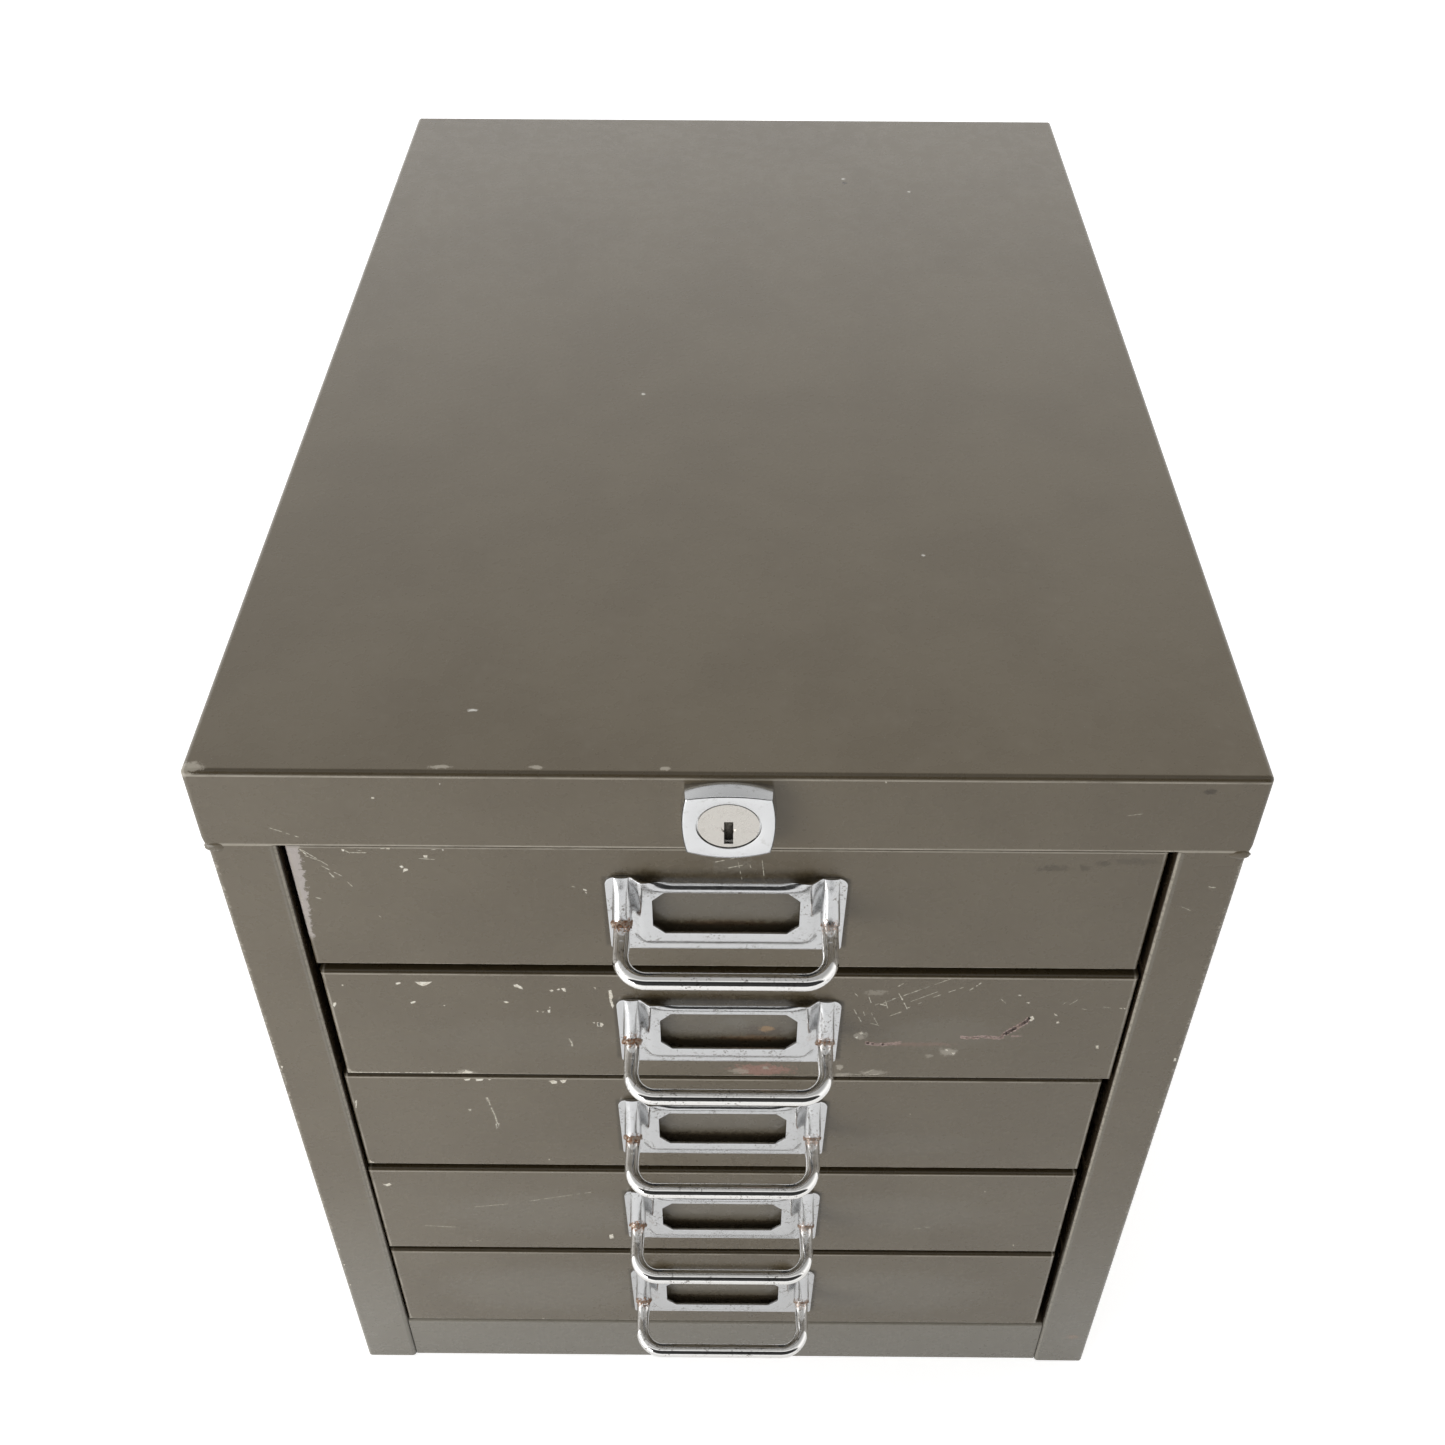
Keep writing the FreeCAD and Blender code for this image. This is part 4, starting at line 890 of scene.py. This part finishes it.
# A brazing ring's stand-off from the wire, its stretch along it, its steps and its lumps' spread
BRAZE_OFF = 0.16
BRAZE_STRETCH = 1.5
BRAZE_TURNS = 40
BRAZE_SIDES = 10
BRAZE_LUMPS = (0.5, 0.8)
BRAZE_APART = 3.0


def braze_mesh(side, thick, rough, seed):
    """A lumpy ring of brazing where the wire leaves its hood."""
    lean = Vector(JOINT_LEAN)
    first = Vector((1.0, 0.0, 0.0))
    second = lean.cross(first)
    centre = Vector((WIRE_ACROSS * side, MOUTH[0], MOUTH[1]))
    rings = []
    for turn in range(BRAZE_TURNS):
        angle = tau * turn / BRAZE_TURNS
        out = cos(angle) * first + sin(angle) * second
        ring = []
        for part in range(BRAZE_SIDES):
            around = tau * part / BRAZE_SIDES
            lump = 1 + rough * noise.noise(Vector((turn * BRAZE_LUMPS[0], part * BRAZE_LUMPS[1], seed)))
            turned = cos(around) * out + sin(around) * lean * BRAZE_STRETCH
            ring.append(centre + out * (WIRE + BRAZE_OFF) + thick * lump * turned)
        rings.append(ring)
    return wrap(rings + [rings[0]], ends=False)


# Brazing ring thickness and roughness on the left and the right of each drawer's handle
BRAZING = {1: ((0.56, 1.8), (0.20, 0.6)), 2: ((0.52, 1.6), (0.42, 1.2)), 3: ((0.48, 1.5), (0.36, 1.1)),
           4: ((0.46, 1.5), (0.34, 1.1)), 5: ((0.42, 1.4), (0.32, 1.1))}


def make_handle(number_down):
    origin = drawer_origin(number_down)
    body = "drawer_%d" % number_down
    sheet = joined([plate_mesh(number_down), hood_mesh(-1), hood_mesh(1)])
    new_piece("label_plate_%d" % number_down, moved(sheet, origin), finishes["plate_chrome"], body,
              SHEET_CREASE, ("drawer_%d_handle_plate" % number_down,))
    new_piece("wire_grip_%d" % number_down, moved(bow_mesh(), origin), finishes["bow_chrome"], body,
              SOFT_CREASE, ("drawer_%d_handle_bow" % number_down,))
    rings = []
    for side, (thick, rough) in zip(SIDES, BRAZING[number_down]):
        rings.append(braze_mesh(side, thick, rough, number_down * BRAZE_APART + side))
    new_piece("brazing_%d" % number_down, moved(joined(rings), origin), braze_rust, body,
              LUMP_CREASE)


for number_down in DRAWERS:
    make_handle(number_down)


# Camera

CAMERA_PLACE = (1.62, -489.89, 622.8)
CAMERA_TURN = 0.1943
CAMERA_TILT = 48.368
CAMERA_ROLL = 0.2788
CAMERA_LENS = 39.92
CAMERA_SHIFT = (-0.00526, -0.04602)
SENSOR = 36.0


def camera_turn():
    turn = Matrix.Rotation(radians(CAMERA_TURN), 4, "Z")
    tilt = Matrix.Rotation(radians(CAMERA_TILT), 4, "X")
    roll = Matrix.Rotation(radians(CAMERA_ROLL), 4, "Z")
    return turn @ tilt @ roll


def make_camera():
    data = bpy.data.cameras.new("camera")
    data.sensor_width = SENSOR
    data.sensor_fit = "HORIZONTAL"
    data.lens = CAMERA_LENS
    data.shift_x, data.shift_y = CAMERA_SHIFT
    camera = add_object("camera", data)
    camera.matrix_world = Matrix.Translation(at(*CAMERA_PLACE)) @ camera_turn()
    bpy.context.scene.camera = camera


make_camera()


# Chips, scratches and rubs, placed as the photograph shows them: x and z in millimetres on each
# drawer's front, and 0 for the cabinet's own front. A scratch or rub starts with its width.

CHIPS = {
    0: (
        ((137.6, 203.9), (138.3, 204.2), (138.4, 202.6), (137.8, 202.2)),
        ((137.9, 174.8), (138.4, 174.6), (138.3, 173.6)),
        ((-137.7, 195.9), (-138.4, 196.3), (-138.3, 194.8)), ((-137.9, 82.8), (-138.4, 82.9), (-138.3, 81.6)),
        ((-137.8, 71.8), (-138.4, 71.9), (-138.3, 70.6)), ((-137.9, 56.8), (-138.4, 57.0), (-138.3, 55.6)),
        ((-92.6, 317.9), (-91.9, 318.0), (-91.9, 317.4), (-92.6, 317.3)),
        ((-74.3, 323.3), (-73.9, 323.3), (-74.1, 322.7)), ((40.6, 325.2), (41.1, 325.2), (41.0, 324.5)),
    ),
    1: (
        ((-89.2, 43.7), (-88.4, 43.9), (-88.0, 43.2), (-88.8, 42.8)),
        ((-88.1, 42.7), (-87.0, 42.7), (-87.0, 42.0), (-87.8, 41.5), (-88.7, 40.9)),
        ((-39.6, 34.7), (-38.5, 34.3), (-38.7, 33.7), (-39.5, 34.1)),
        ((-39.3, 33.6), (-38.5, 33.2), (-38.7, 32.5)),
        ((-82.1, 48.2), (-80.9, 48.2), (-81.2, 47.2), (-82.0, 47.4)),
        ((-103.9, 50.6), (-103.0, 50.1), (-103.5, 49.4), (-104.0, 49.9)),
        ((-91.8, 51.0), (-90.7, 51.0), (-91.0, 50.4), (-91.8, 50.6)),
        ((-76.9, 50.8), (-76.2, 50.6), (-76.5, 49.9)),
    ),
    2: (
        ((-97.9, 47.1), (-96.5, 47.4), (-96.3, 47.0), (-97.3, 46.2), (-97.8, 46.3)),
        ((-92.3, 47.6), (-86.9, 47.7), (-88.0, 46.7), (-89.8, 45.5), (-91.2, 46.2)),
        ((-113.8, 46.0), (-113.3, 46.0), (-113.5, 45.3), (-113.9, 45.4)),
        ((-117.8, 37.0), (-116.8, 37.6), (-116.9, 36.7), (-117.8, 34.8), (-118.1, 35.8)),
        ((-94.7, 37.6), (-93.5, 38.3), (-92.9, 38.1), (-93.7, 37.2), (-94.6, 36.8)),
        ((-85.1, 36.3), (-84.5, 36.3), (-84.6, 35.7)),
        ((-63.5, 46.5), (-62.3, 46.8), (-61.4, 46.1), (-60.8, 45.3), (-60.5, 44.1), (-61.1, 44.5),
         (-62.1, 45.1), (-63.1, 45.6)),
        ((-67.0, 38.3), (-66.0, 38.5), (-65.3, 37.9), (-66.2, 37.5)),
        ((-53.0, 44.0), (-52.1, 44.4), (-51.6, 43.8), (-52.5, 43.3)),
        ((-50.8, 44.4), (-50.0, 44.9), (-49.7, 44.4), (-50.3, 44.0)),
        ((-49.4, 45.0), (-48.3, 45.3), (-48.1, 44.3), (-48.0, 43.3), (-48.8, 43.5)),
        ((-57.7, 33.7), (-57.0, 33.9), (-57.1, 33.2)), ((-56.0, 33.4), (-55.3, 33.7), (-55.5, 32.9)),
        ((-54.2, 34.1), (-53.3, 34.6), (-53.5, 33.1), (-54.0, 32.8)),
        ((-53.6, 35.8), (-53.1, 35.8), (-53.3, 35.1)), ((-41.1, 28.2), (-40.3, 28.5), (-40.5, 27.7)),
        ((-39.8, 27.7), (-38.8, 28.3), (-38.9, 26.3), (-39.6, 26.0)),
        ((-35.5, 44.2), (-34.7, 44.5), (-34.3, 41.1), (-34.7, 39.6), (-34.2, 36.6), (-34.6, 34.9),
         (-35.2, 37.4), (-35.5, 39.6)),
        ((-39.7, 28.3), (-38.1, 28.1), (-37.7, 27.0), (-38.4, 25.8), (-39.3, 26.7)),
        ((-39.9, 45.8), (-39.2, 45.5), (-39.4, 44.6)),
        ((-93.2, 1.2), (-92.6, 2.0), (-92.0, 1.3)),
        ((-83.5, 1.2), (-82.4, 2.0), (-82.0, 3.1), (-81.2, 2.2), (-79.6, 1.8), (-80.5, 1.2)),
        ((89.4, 32.4), (90.8, 33.2), (91.6, 31.6), (90.6, 30.4), (89.8, 31.1)),
        ((96.8, 34.8), (97.8, 34.0), (98.4, 33.2), (97.3, 33.5)),
        ((98.2, 30.4), (98.9, 30.6), (99.2, 29.7), (98.4, 29.6)),
        ((111.9, 18.3), (112.8, 18.6), (113.1, 16.7), (112.2, 17.0)),
        ((115.9, 37.5), (116.8, 37.4), (116.9, 36.9)), ((117.2, 37.5), (117.8, 37.3), (117.8, 36.7)),
        ((88.0, 39.9), (89.2, 40.0), (88.9, 39.3)), ((85.0, 43.5), (86.2, 43.5), (86.2, 42.9)),
        ((39.2, 23.9), (40.2, 24.5), (40.9, 23.7), (39.9, 23.1)), ((38.2, 21.6), (39.3, 22.2), (39.0, 21.0)),
        ((66.0, 15.6), (67.0, 15.9), (67.2, 14.9)), ((68.2, 14.2), (69.6, 13.9), (69.0, 13.0)),
    ),
    3: (
        ((-54.8, 49.9), (-53.4, 50.4), (-52.1, 49.7), (-52.3, 48.6), (-53.9, 48.3)),
        ((-51.4, 50.3), (-49.1, 50.8), (-49.5, 49.4), (-50.7, 48.6)),
        ((-77.9, 50.7), (-75.3, 50.8), (-75.7, 49.9), (-77.7, 49.6)),
        ((-74.0, 50.6), (-72.9, 50.7), (-73.3, 50.0)),
        ((-81.7, 50.5), (-79.4, 50.8), (-79.8, 50.1), (-81.2, 49.7)),
        ((-75.8, 40.4), (-75.0, 40.4), (-74.6, 38.4), (-75.4, 38.1)),
        ((-73.9, 25.3), (-72.6, 25.6), (-73.0, 23.8), (-73.9, 22.0)),
        ((-82.1, 33.7), (-80.9, 33.7), (-81.3, 32.5)),
        ((-117.7, 38.1), (-117.1, 38.4), (-117.9, 33.7), (-118.2, 33.7)),
        ((-118.2, 3.0), (-117.6, 1.8), (-116.6, 1.2), (-118.2, 1.1)),
        ((-58.4, 4.2), (-57.7, 4.2), (-57.9, 3.3)), ((60.0, 33.0), (60.5, 33.0), (60.5, 32.2)),
    ),
    4: (
       
        ((-115.7, 43.1), (-114.5, 42.7), (-113.1, 43.6), (-112.5, 42.4), (-114.0, 41.5), (-114.9, 42.1)),
        ((-40.0, 9.9), (-38.6, 10.6), (-38.4, 7.8), (-39.8, 7.1)),
        ((103.2, 5.3), (103.8, 5.4), (103.7, 4.3)), ((89.3, 41.3), (89.8, 41.3), (89.7, 40.5)),
    ),
    5: (
        ((-68.6, 1.3), (-67.8, 1.9), (-67.4, 1.3)),
    ),
}
SCRATCHES = {
    0: (
        (0.2, ((131.9, 284.9), (132.7, 284.4), (134.0, 284.5))),
        (0.15, ((126.2, 276.1), (127.6, 275.4), (129.0, 274.5))),
        (0.12, ((105.0, 313.0), (108.8, 313.7))),
        (0.14, ((-122.4, 306.3), (-119.3, 304.8), (-116.4, 303.3), (-113.1, 301.7))),
    ),
    1: (
        (0.2, ((-115.3, 50.4), (-111.6, 44.5))), (0.22, ((-111.6, 44.5), (-105.5, 39.3))),
        (0.15, ((-114.7, 50.0), (-108.6, 43.7))), (0.25, ((-108.9, 40.8), (-107.2, 37.8))),
        (0.15, ((-104.5, 37.1), (-103.3, 34.9))), (0.15, ((-114.3, 47.8), (-110.2, 45.4))),
        (0.2, ((-114.3, 30.2), (-112.8, 29.6))), (0.2, ((-103.0, 49.9), (-101.9, 48.8))),
        (0.25, ((-101.9, 49.1), (-97.4, 49.1))), (0.15, ((-100.1, 50.2), (-98.5, 49.8))),
        (0.15, ((-93.5, 50.7), (-91.9, 51.0))), (0.2, ((-83.5, 46.9), (-79.1, 46.5))),
        (0.15, ((-79.8, 50.4), (-78.2, 50.7))), (0.15, ((-42.7, 35.8), (-41.7, 35.4))),
        (0.2, ((-97.8, 22.5), (-97.3, 21.8))), (0.12, ((3.2, 46.4), (4.3, 39.0))),
        (0.12, ((9.6, 48.5), (10.3, 40.7))), (0.12, ((5.8, 48.1), (6.7, 44.0))),
        (0.15, ((-3.1, 46.3), (2.3, 48.0))), (0.15, ((0.4, 43.9), (5.9, 45.6))),
    ),
    2: (
        (0.25, ((-48.7, 20.1), (-47.9, 17.5), (-47.9, 15.8))),
        (0.2, ((-118.2, 1.2), (-112.9, 1.2), (-102.6, 1.2), (-91.6, 1.2), (-83.7, 1.2))),
        (0.15, ((43.4, 38.1), (51.7, 42.9))), (0.2, ((47.0, 39.7), (57.7, 46.6))),
        (0.15, ((51.7, 42.9), (59.8, 47.8))), (0.15, ((57.7, 46.6), (64.8, 51.0))),
        (0.15, ((45.6, 38.8), (49.9, 41.6))), (0.15, ((52.9, 36.5), (60.3, 41.7))),
        (0.12, ((53.8, 39.8), (61.5, 44.8))), (0.15, ((60.3, 42.0), (68.8, 47.0))),
        (0.2, ((49.5, 47.1), (52.1, 49.5))), (0.2, ((48.1, 32.6), (51.5, 34.8))),
        (0.25, ((44.9, 38.5), (47.2, 37.6))), (0.25, ((50.0, 43.8), (51.0, 41.6), (53.1, 36.1))),
        (0.15, ((70.7, 45.5), (71.7, 46.8))), (0.15, ((72.3, 47.4), (73.8, 49.2))),
        (0.15, ((46.3, 40.3), (47.3, 36.4))), (0.15, ((41.3, 42.1), (42.2, 39.0))),
        (0.15, ((37.1, 43.7), (38.1, 42.1))), (0.15, ((36.7, 37.1), (39.8, 29.6))),
        (0.12, ((39.7, 35.9), (40.8, 32.5))), (0.12, ((42.5, 34.1), (44.8, 28.4))),
        (0.15, ((42.5, 29.0), (45.2, 27.8))), (0.15, ((42.2, 2.6), (43.7, 3.6), (45.1, 4.9))),
        (0.15, ((42.6, 1.7), (47.1, 2.4))), (0.12, ((37.9, 2.3), (41.4, 1.9))),
        (0.12, ((99.0, 39.0), (99.9, 40.3))), (0.12, ((100.9, 38.8), (103.1, 41.3))),
        (0.12, ((104.9, 37.0), (106.5, 36.4))), (0.12, ((111.1, 37.9), (113.4, 37.5))),
        (0.12, ((80.4, 41.4), (82.1, 39.3))),
    ),
    3: (
       
        (0.3, ((-75.6, 39.8), (-74.9, 38.4), (-74.5, 34.8), (-73.7, 30.4), (-73.3, 25.3), (-73.4, 23.1))),
    ),
    4: (
        (0.12, ((-85.9, 28.3), (-73.9, 30.5))), (0.12, ((-66.4, 32.5), (-54.9, 35.8), (-44.8, 38.6))),
        (0.15, ((-104.5, 15.4), (-93.5, 14.5))), (0.12, ((-90.0, 4.8), (-86.5, 5.2))),
        (0.15, ((-73.7, 6.4), (-68.0, 7.1))), (0.12, ((65.8, 15.3), (72.7, 17.1))),
    ),
}
RUBS = {
    2: (
        (0.9, ((41.6, 18.9), (44.7, 18.1), (47.8, 18.1), (52.7, 19.2))),
        (0.9, ((70.2, 22.4), (72.8, 21.7), (77.3, 22.4), (82.7, 21.8))),
        (1.5, ((82.6, 22.5), (84.6, 25.1), (86.6, 27.3), (88.9, 29.9), (90.0, 31.7))),
        (0.4, ((85.6, 22.9), (89.0, 22.9))),
    ),
}


def mark_origin(number_down):
    if number_down == 0:
        return Vector((0.0, front_y / MM, 0.0))
    return drawer_origin(number_down)


MARK_RISE = 0.03
MARK_SINK = 0.05
CHIP_STEP = 0.6
SCRATCH_STEP = 1.3
SCRATCH_GAPS = 0.22
SCRATCH_SWELL = (0.55, 1.2)
SCRATCH_SHARES = (0.4, 1.0, 0.4)
CHIP_RAGGED = 0.09
CHIP_FACE_SHARE = 0.94
RUB_STRANDS = 3
RUB_SHARE = 0.5
MARK_SEED = 40


def chip_mesh(points, dice):
    """A thin ragged flake on a front."""
    outline = []
    for index, point in enumerate(points):
        start = Vector(point)
        end = Vector(points[(index + 1) % len(points)])
        steps = max(1, round((end - start).length / CHIP_STEP))
        for step in range(steps):
            spread = Vector((dice.uniform(-1, 1), dice.uniform(-1, 1))) * CHIP_RAGGED
            outline.append(start.lerp(end, step / steps) + spread)
    middle = sum(outline, Vector((0.0, 0.0))) / len(outline)
    back = [Vector((point.x, MARK_SINK, point.y)) for point in outline]
    front = []
    for point in outline:
        near_point = middle.lerp(point, CHIP_FACE_SHARE)
        front.append(Vector((near_point.x, -MARK_RISE, near_point.y)))
    return wrap([back, front])


def scratch_mesh(width, points, dice):
    """A broken, uneven scratch along a run of points."""
    parts = []
    for start, end in zip(points[:-1], points[1:]):
        start = Vector(start)
        end = Vector(end)
        length = (end - start).length
        steps = max(1, round(length / SCRATCH_STEP))
        across = Vector((start.y - end.y, end.x - start.x)).normalized()
        for step in range(steps):
            if dice.random() < SCRATCH_GAPS and steps > 2:
                continue
            first = start.lerp(end, step / steps)
            last = start.lerp(end, (step + 1) / steps)
            half = across * width * dice.uniform(*SCRATCH_SWELL)
            rings = []
            for place, share in zip((first, first.lerp(last, 0.5), last), SCRATCH_SHARES):
                left = place - half * share
                right = place + half * share
                rings.append([Vector((left.x, MARK_SINK, left.y)), Vector((left.x, -MARK_RISE, left.y)),
                              Vector((right.x, -MARK_RISE, right.y)), Vector((right.x, MARK_SINK, right.y))])
            parts.append(wrap(rings))
    return parts


def make_marks(number_down):
    dice = random.Random(MARK_SEED + number_down)
    origin = mark_origin(number_down)
    body = "drawer_%d" % number_down if number_down else "carcass"
    label = body if number_down else "body"
    chips = [chip_mesh(points, dice) for points in CHIPS.get(number_down, ())]
    scratches = []
    for width, points in SCRATCHES.get(number_down, ()):
        scratches += scratch_mesh(width, points, dice)
    rubs = []
    for width, points in RUBS.get(number_down, ()):
        for strand in range(RUB_STRANDS):
            shift = Vector((0.0, (strand - 1) * width * RUB_SHARE))
            line = [Vector(point) + shift for point in points]
            rubs += scratch_mesh(width * RUB_SHARE, line, dice)
    for kind, parts, paint in (("chips", chips, chip_pale), ("scratches", scratches, scratch_pale),
                               ("rubs", rubs, rub_pink)):
        if parts:
            new_piece("%s_%s" % (kind, label), moved(joined(parts), origin), paint, body,
                      HARD_CREASE)


for number_down in (0,) + DRAWERS:
    make_marks(number_down)


# Lock head. Lengths are from the lock's axis and the fascia's face.

LOCK_PLACE = (0.5, 0.0, 312.9)
HEAD_RISE = 5.0
HEAD_ROUND = 0.55
HEAD_DRAFT = 0.4
HEAD_LOW = -10.05
HEAD_HIGH = 10.3
HEAD_TOP_HALF = 11.2
HEAD_LOW_HALF = 11.1
HEAD_SIDE_BULGE = 1.1
HEAD_TOP_BULGE = 1.2
HEAD_LOW_BULGE = 2.2
HEAD_STEPS = 24
PLUG_HOLE = 8.5
PLUG_LIP = 0.25
PLUG_FLOOR = 1.3
BARREL = 9.4
BARREL_LENGTH = 12.5
BORE_SHARE = 0.68
LIP_SHARE = 0.3
HEAD_FOOT = 0.5
HEAD_SOFT = 0.35
HEAD_SHRINK = 0.1
ROUND_STEPS = 6


def bulged(start, end, bulge, steps):
    """Points from start up to end on a shallow arc that stands out to the right of the way."""
    points = []
    across = (end - start).normalized()
    out = Vector((across.y, -across.x))
    for step in range(steps):
        share = step / steps
        points.append(start.lerp(end, share) + out * bulge * (1 - (2 * share - 1) ** 2))
    return points


def head_outline():
    corners = [Vector((-HEAD_LOW_HALF, HEAD_LOW)), Vector((HEAD_LOW_HALF, HEAD_LOW)),
               Vector((HEAD_TOP_HALF, HEAD_HIGH)), Vector((-HEAD_TOP_HALF, HEAD_HIGH))]
    bulges = (HEAD_LOW_BULGE, HEAD_SIDE_BULGE, HEAD_TOP_BULGE, HEAD_SIDE_BULGE)
    points = []
    for index, bulge in enumerate(bulges):
        points += bulged(corners[index], corners[(index + 1) % 4], bulge, HEAD_STEPS)
    return points


def make_lock_head():
    origin = Vector((LOCK_PLACE[0], front_y / MM, LOCK_PLACE[2]))
    outline = head_outline()

    def ring(inset, y):
        points = []
        for point in outline:
            length = point.length
            points.append(Vector((point.x * (1 - inset / length), y, point.y * (1 - inset / length))))
        return points

    def circle(radius, y):
        points = []
        for point in outline:
            away = point.normalized() * radius
            points.append(Vector((away.x, y, away.y)))
        return points

    face = -HEAD_RISE
    turn_in = HEAD_ROUND - HEAD_RISE
    bore = BARREL * BORE_SHARE
    rings = [circle(BARREL, BARREL_LENGTH), circle(BARREL, 0.0), ring(-HEAD_DRAFT, 0.0),
             ring(-HEAD_DRAFT, -HEAD_FOOT), ring(0.0, turn_in - HEAD_SOFT), ring(HEAD_SHRINK, turn_in)]
    for step in range(1, ROUND_STEPS + 1):
        angle = radians(90 * step / ROUND_STEPS)
        inset = HEAD_SHRINK + HEAD_ROUND * (1 - cos(angle))
        rings.append(ring(inset, turn_in - HEAD_ROUND * sin(angle)))
    rings += [circle(PLUG_HOLE + PLUG_LIP, face),
              circle(PLUG_HOLE + PLUG_LIP * LIP_SHARE, PLUG_LIP * LIP_SHARE + face),
              circle(PLUG_HOLE, PLUG_LIP + face), circle(PLUG_HOLE, PLUG_FLOOR + face),
              circle(bore, PLUG_FLOOR + face), circle(bore, BARREL_LENGTH)]
    data = wrap(rings + [rings[0]], ends=False)
    new_piece("lock_head", moved(data, origin), finishes["lock_chrome"], "carcass",
              HARD_CREASE, ("lock_housing",))


make_lock_head()


# Filler smeared over the joints of the cover's lower corners
LUMP_PLACE = (137.7, 0.25, 297.9)
LUMP_HALF = (2.7, 0.75, 1.8)
LUMP_TURNS = 20
LUMP_ROWS = 10
LUMP_SWELL = 0.3
LUMP_GRAIN = 1.7
LUMP_APART = 5.0


def lump_mesh(side):
    rings = []
    for row in range(1, LUMP_ROWS):
        polar = pi * row / LUMP_ROWS
        ring = []
        for turn in range(LUMP_TURNS):
            angle = tau * turn / LUMP_TURNS
            out = sin(polar)
            away = Vector((cos(polar), out * sin(angle), out * cos(angle)))
            swell = 1 + LUMP_SWELL * noise.noise(away * LUMP_GRAIN + Vector((side * LUMP_APART, 0.0, 0.0)))
            point = away * Vector(LUMP_HALF) * swell
            ring.append(point + Vector((LUMP_PLACE[0] * side, LUMP_PLACE[1], LUMP_PLACE[2])))
        rings.append(ring)
    return wrap(rings)


lumps = joined([lump_mesh(side) for side in SIDES])
new_piece("corner_filler", moved(lumps, mark_origin(0)), finishes["enamel"], "carcass",
          SOFT_CREASE)


# Floor

# The table's front and back edges and its half width
FLOOR_REACH = (-3000.0, 3000.0, 3000.0)
WHITE = rgb(1.0, 1.0, 1.0)
FLOOR_GREY = rgb(0.86, 0.86, 0.86)
FLOOR_ROUGH = 0.9
# How bright the floor looks by itself, to the camera and in metal
FLOOR_SEEN = 0.62
FLOOR_MIRRORED = 0.40


def make_floor():
    mesh = bpy.data.meshes.new("floor")
    near, far, side = FLOOR_REACH
    corners = [at(-side, near, 0), at(side, near, 0), at(side, far, 0), at(-side, far, 0)]
    mesh.from_pydata(corners, [], [(0, 1, 2, 3)])
    floor = add_object("floor", mesh)
    material, tree, shader = new_material("floor_white")
    shader.inputs["Base Color"].default_value = FLOOR_GREY
    shader.inputs["Roughness"].default_value = FLOOR_ROUGH
    path = tree.nodes.new("ShaderNodeLightPath")
    seen = times(path.outputs["Is Camera Ray"], FLOOR_SEEN)
    mirrored = times(path.outputs["Is Glossy Ray"], FLOOR_MIRRORED)
    seen = calc("MAXIMUM", seen, mirrored)
    shader.inputs["Emission Color"].default_value = WHITE
    feed(shader.inputs["Emission Strength"], seen)
    mesh.materials.append(material)


make_floor()


# Light

WALL_BACK = 1.55
WALL_TOP = 0.50
WALL_DARK = 0.03
WALL_RIM = 1.0
# Where the studio dims upwards, how much brighter its left is than its right, where its unlit
# gap begins, and the bright rim beside that gap
DIMMING = (0.30, 0.90)
LEFT_RIGHT = (1.2, 0.8)
GAP_BORDER = (-0.66, -0.56)
RIM_BAND = (-0.56, -0.44, 0.08)
RIM_FADE = (0.60, 0.75)


def make_world():
    """A pale studio, dimmer overhead, with an unlit gap behind the camera; white to the camera."""
    world = bpy.data.worlds.new("studio")
    world.use_nodes = True
    tree = world.node_tree
    tree.nodes.clear()
    direction = tree.nodes.new("ShaderNodeTexCoord").outputs["Generated"]
    parts = tree.nodes.new("ShaderNodeSeparateXYZ")
    tree.links.new(direction, parts.inputs[0])
    right, back, up = parts.outputs
    level = span(up, *DIMMING, WALL_BACK, WALL_TOP)
    level = times(level, span(right, -1.0, 1.0, *LEFT_RIGHT, False))
    gap = span(back, *GAP_BORDER, 1.0, 0.0)
    level = times(level, span(gap, 0.0, 1.0, 1.0, WALL_DARK))
    rim = times(band(back, *RIM_BAND), span(up, *RIM_FADE), WALL_RIM)
    level = calc("MAXIMUM", level, rim)
    light = tree.nodes.new("ShaderNodeBackground")
    light.inputs["Color"].default_value = WHITE
    feed(light.inputs["Strength"], level)
    white = tree.nodes.new("ShaderNodeBackground")
    white.inputs["Color"].default_value = WHITE
    path = tree.nodes.new("ShaderNodeLightPath")
    choice = tree.nodes.new("ShaderNodeMixShader")
    tree.links.new(path.outputs["Is Camera Ray"], choice.inputs["Fac"])
    tree.links.new(light.outputs[0], choice.inputs[1])
    tree.links.new(white.outputs[0], choice.inputs[2])
    output = tree.nodes.new("ShaderNodeOutputWorld")
    tree.links.new(choice.outputs[0], output.inputs["Surface"])
    bpy.context.scene.world = world


make_world()


def soft_light(name, place, aim, width, height, power):
    data = bpy.data.lights.new(name, "AREA")
    data.shape = "RECTANGLE"
    data.size = width * MM
    data.size_y = height * MM
    data.energy = power
    lamp = add_object(name, data)
    lamp.location = at(*place)
    lamp.rotation_euler = (at(*aim) - at(*place)).to_track_quat("-Z", "Y").to_euler()


KEY_PLACE = (-560.0, -640.0, 90.0)
KEY_AIM = (-20.0, -200.0, 110.0)
KEY_SIZE = (500.0, 420.0)
KEY_POWER = 2.7

soft_light("key_light", KEY_PLACE, KEY_AIM, *KEY_SIZE, KEY_POWER)


bpy.context.scene.view_settings.view_transform = "Standard"
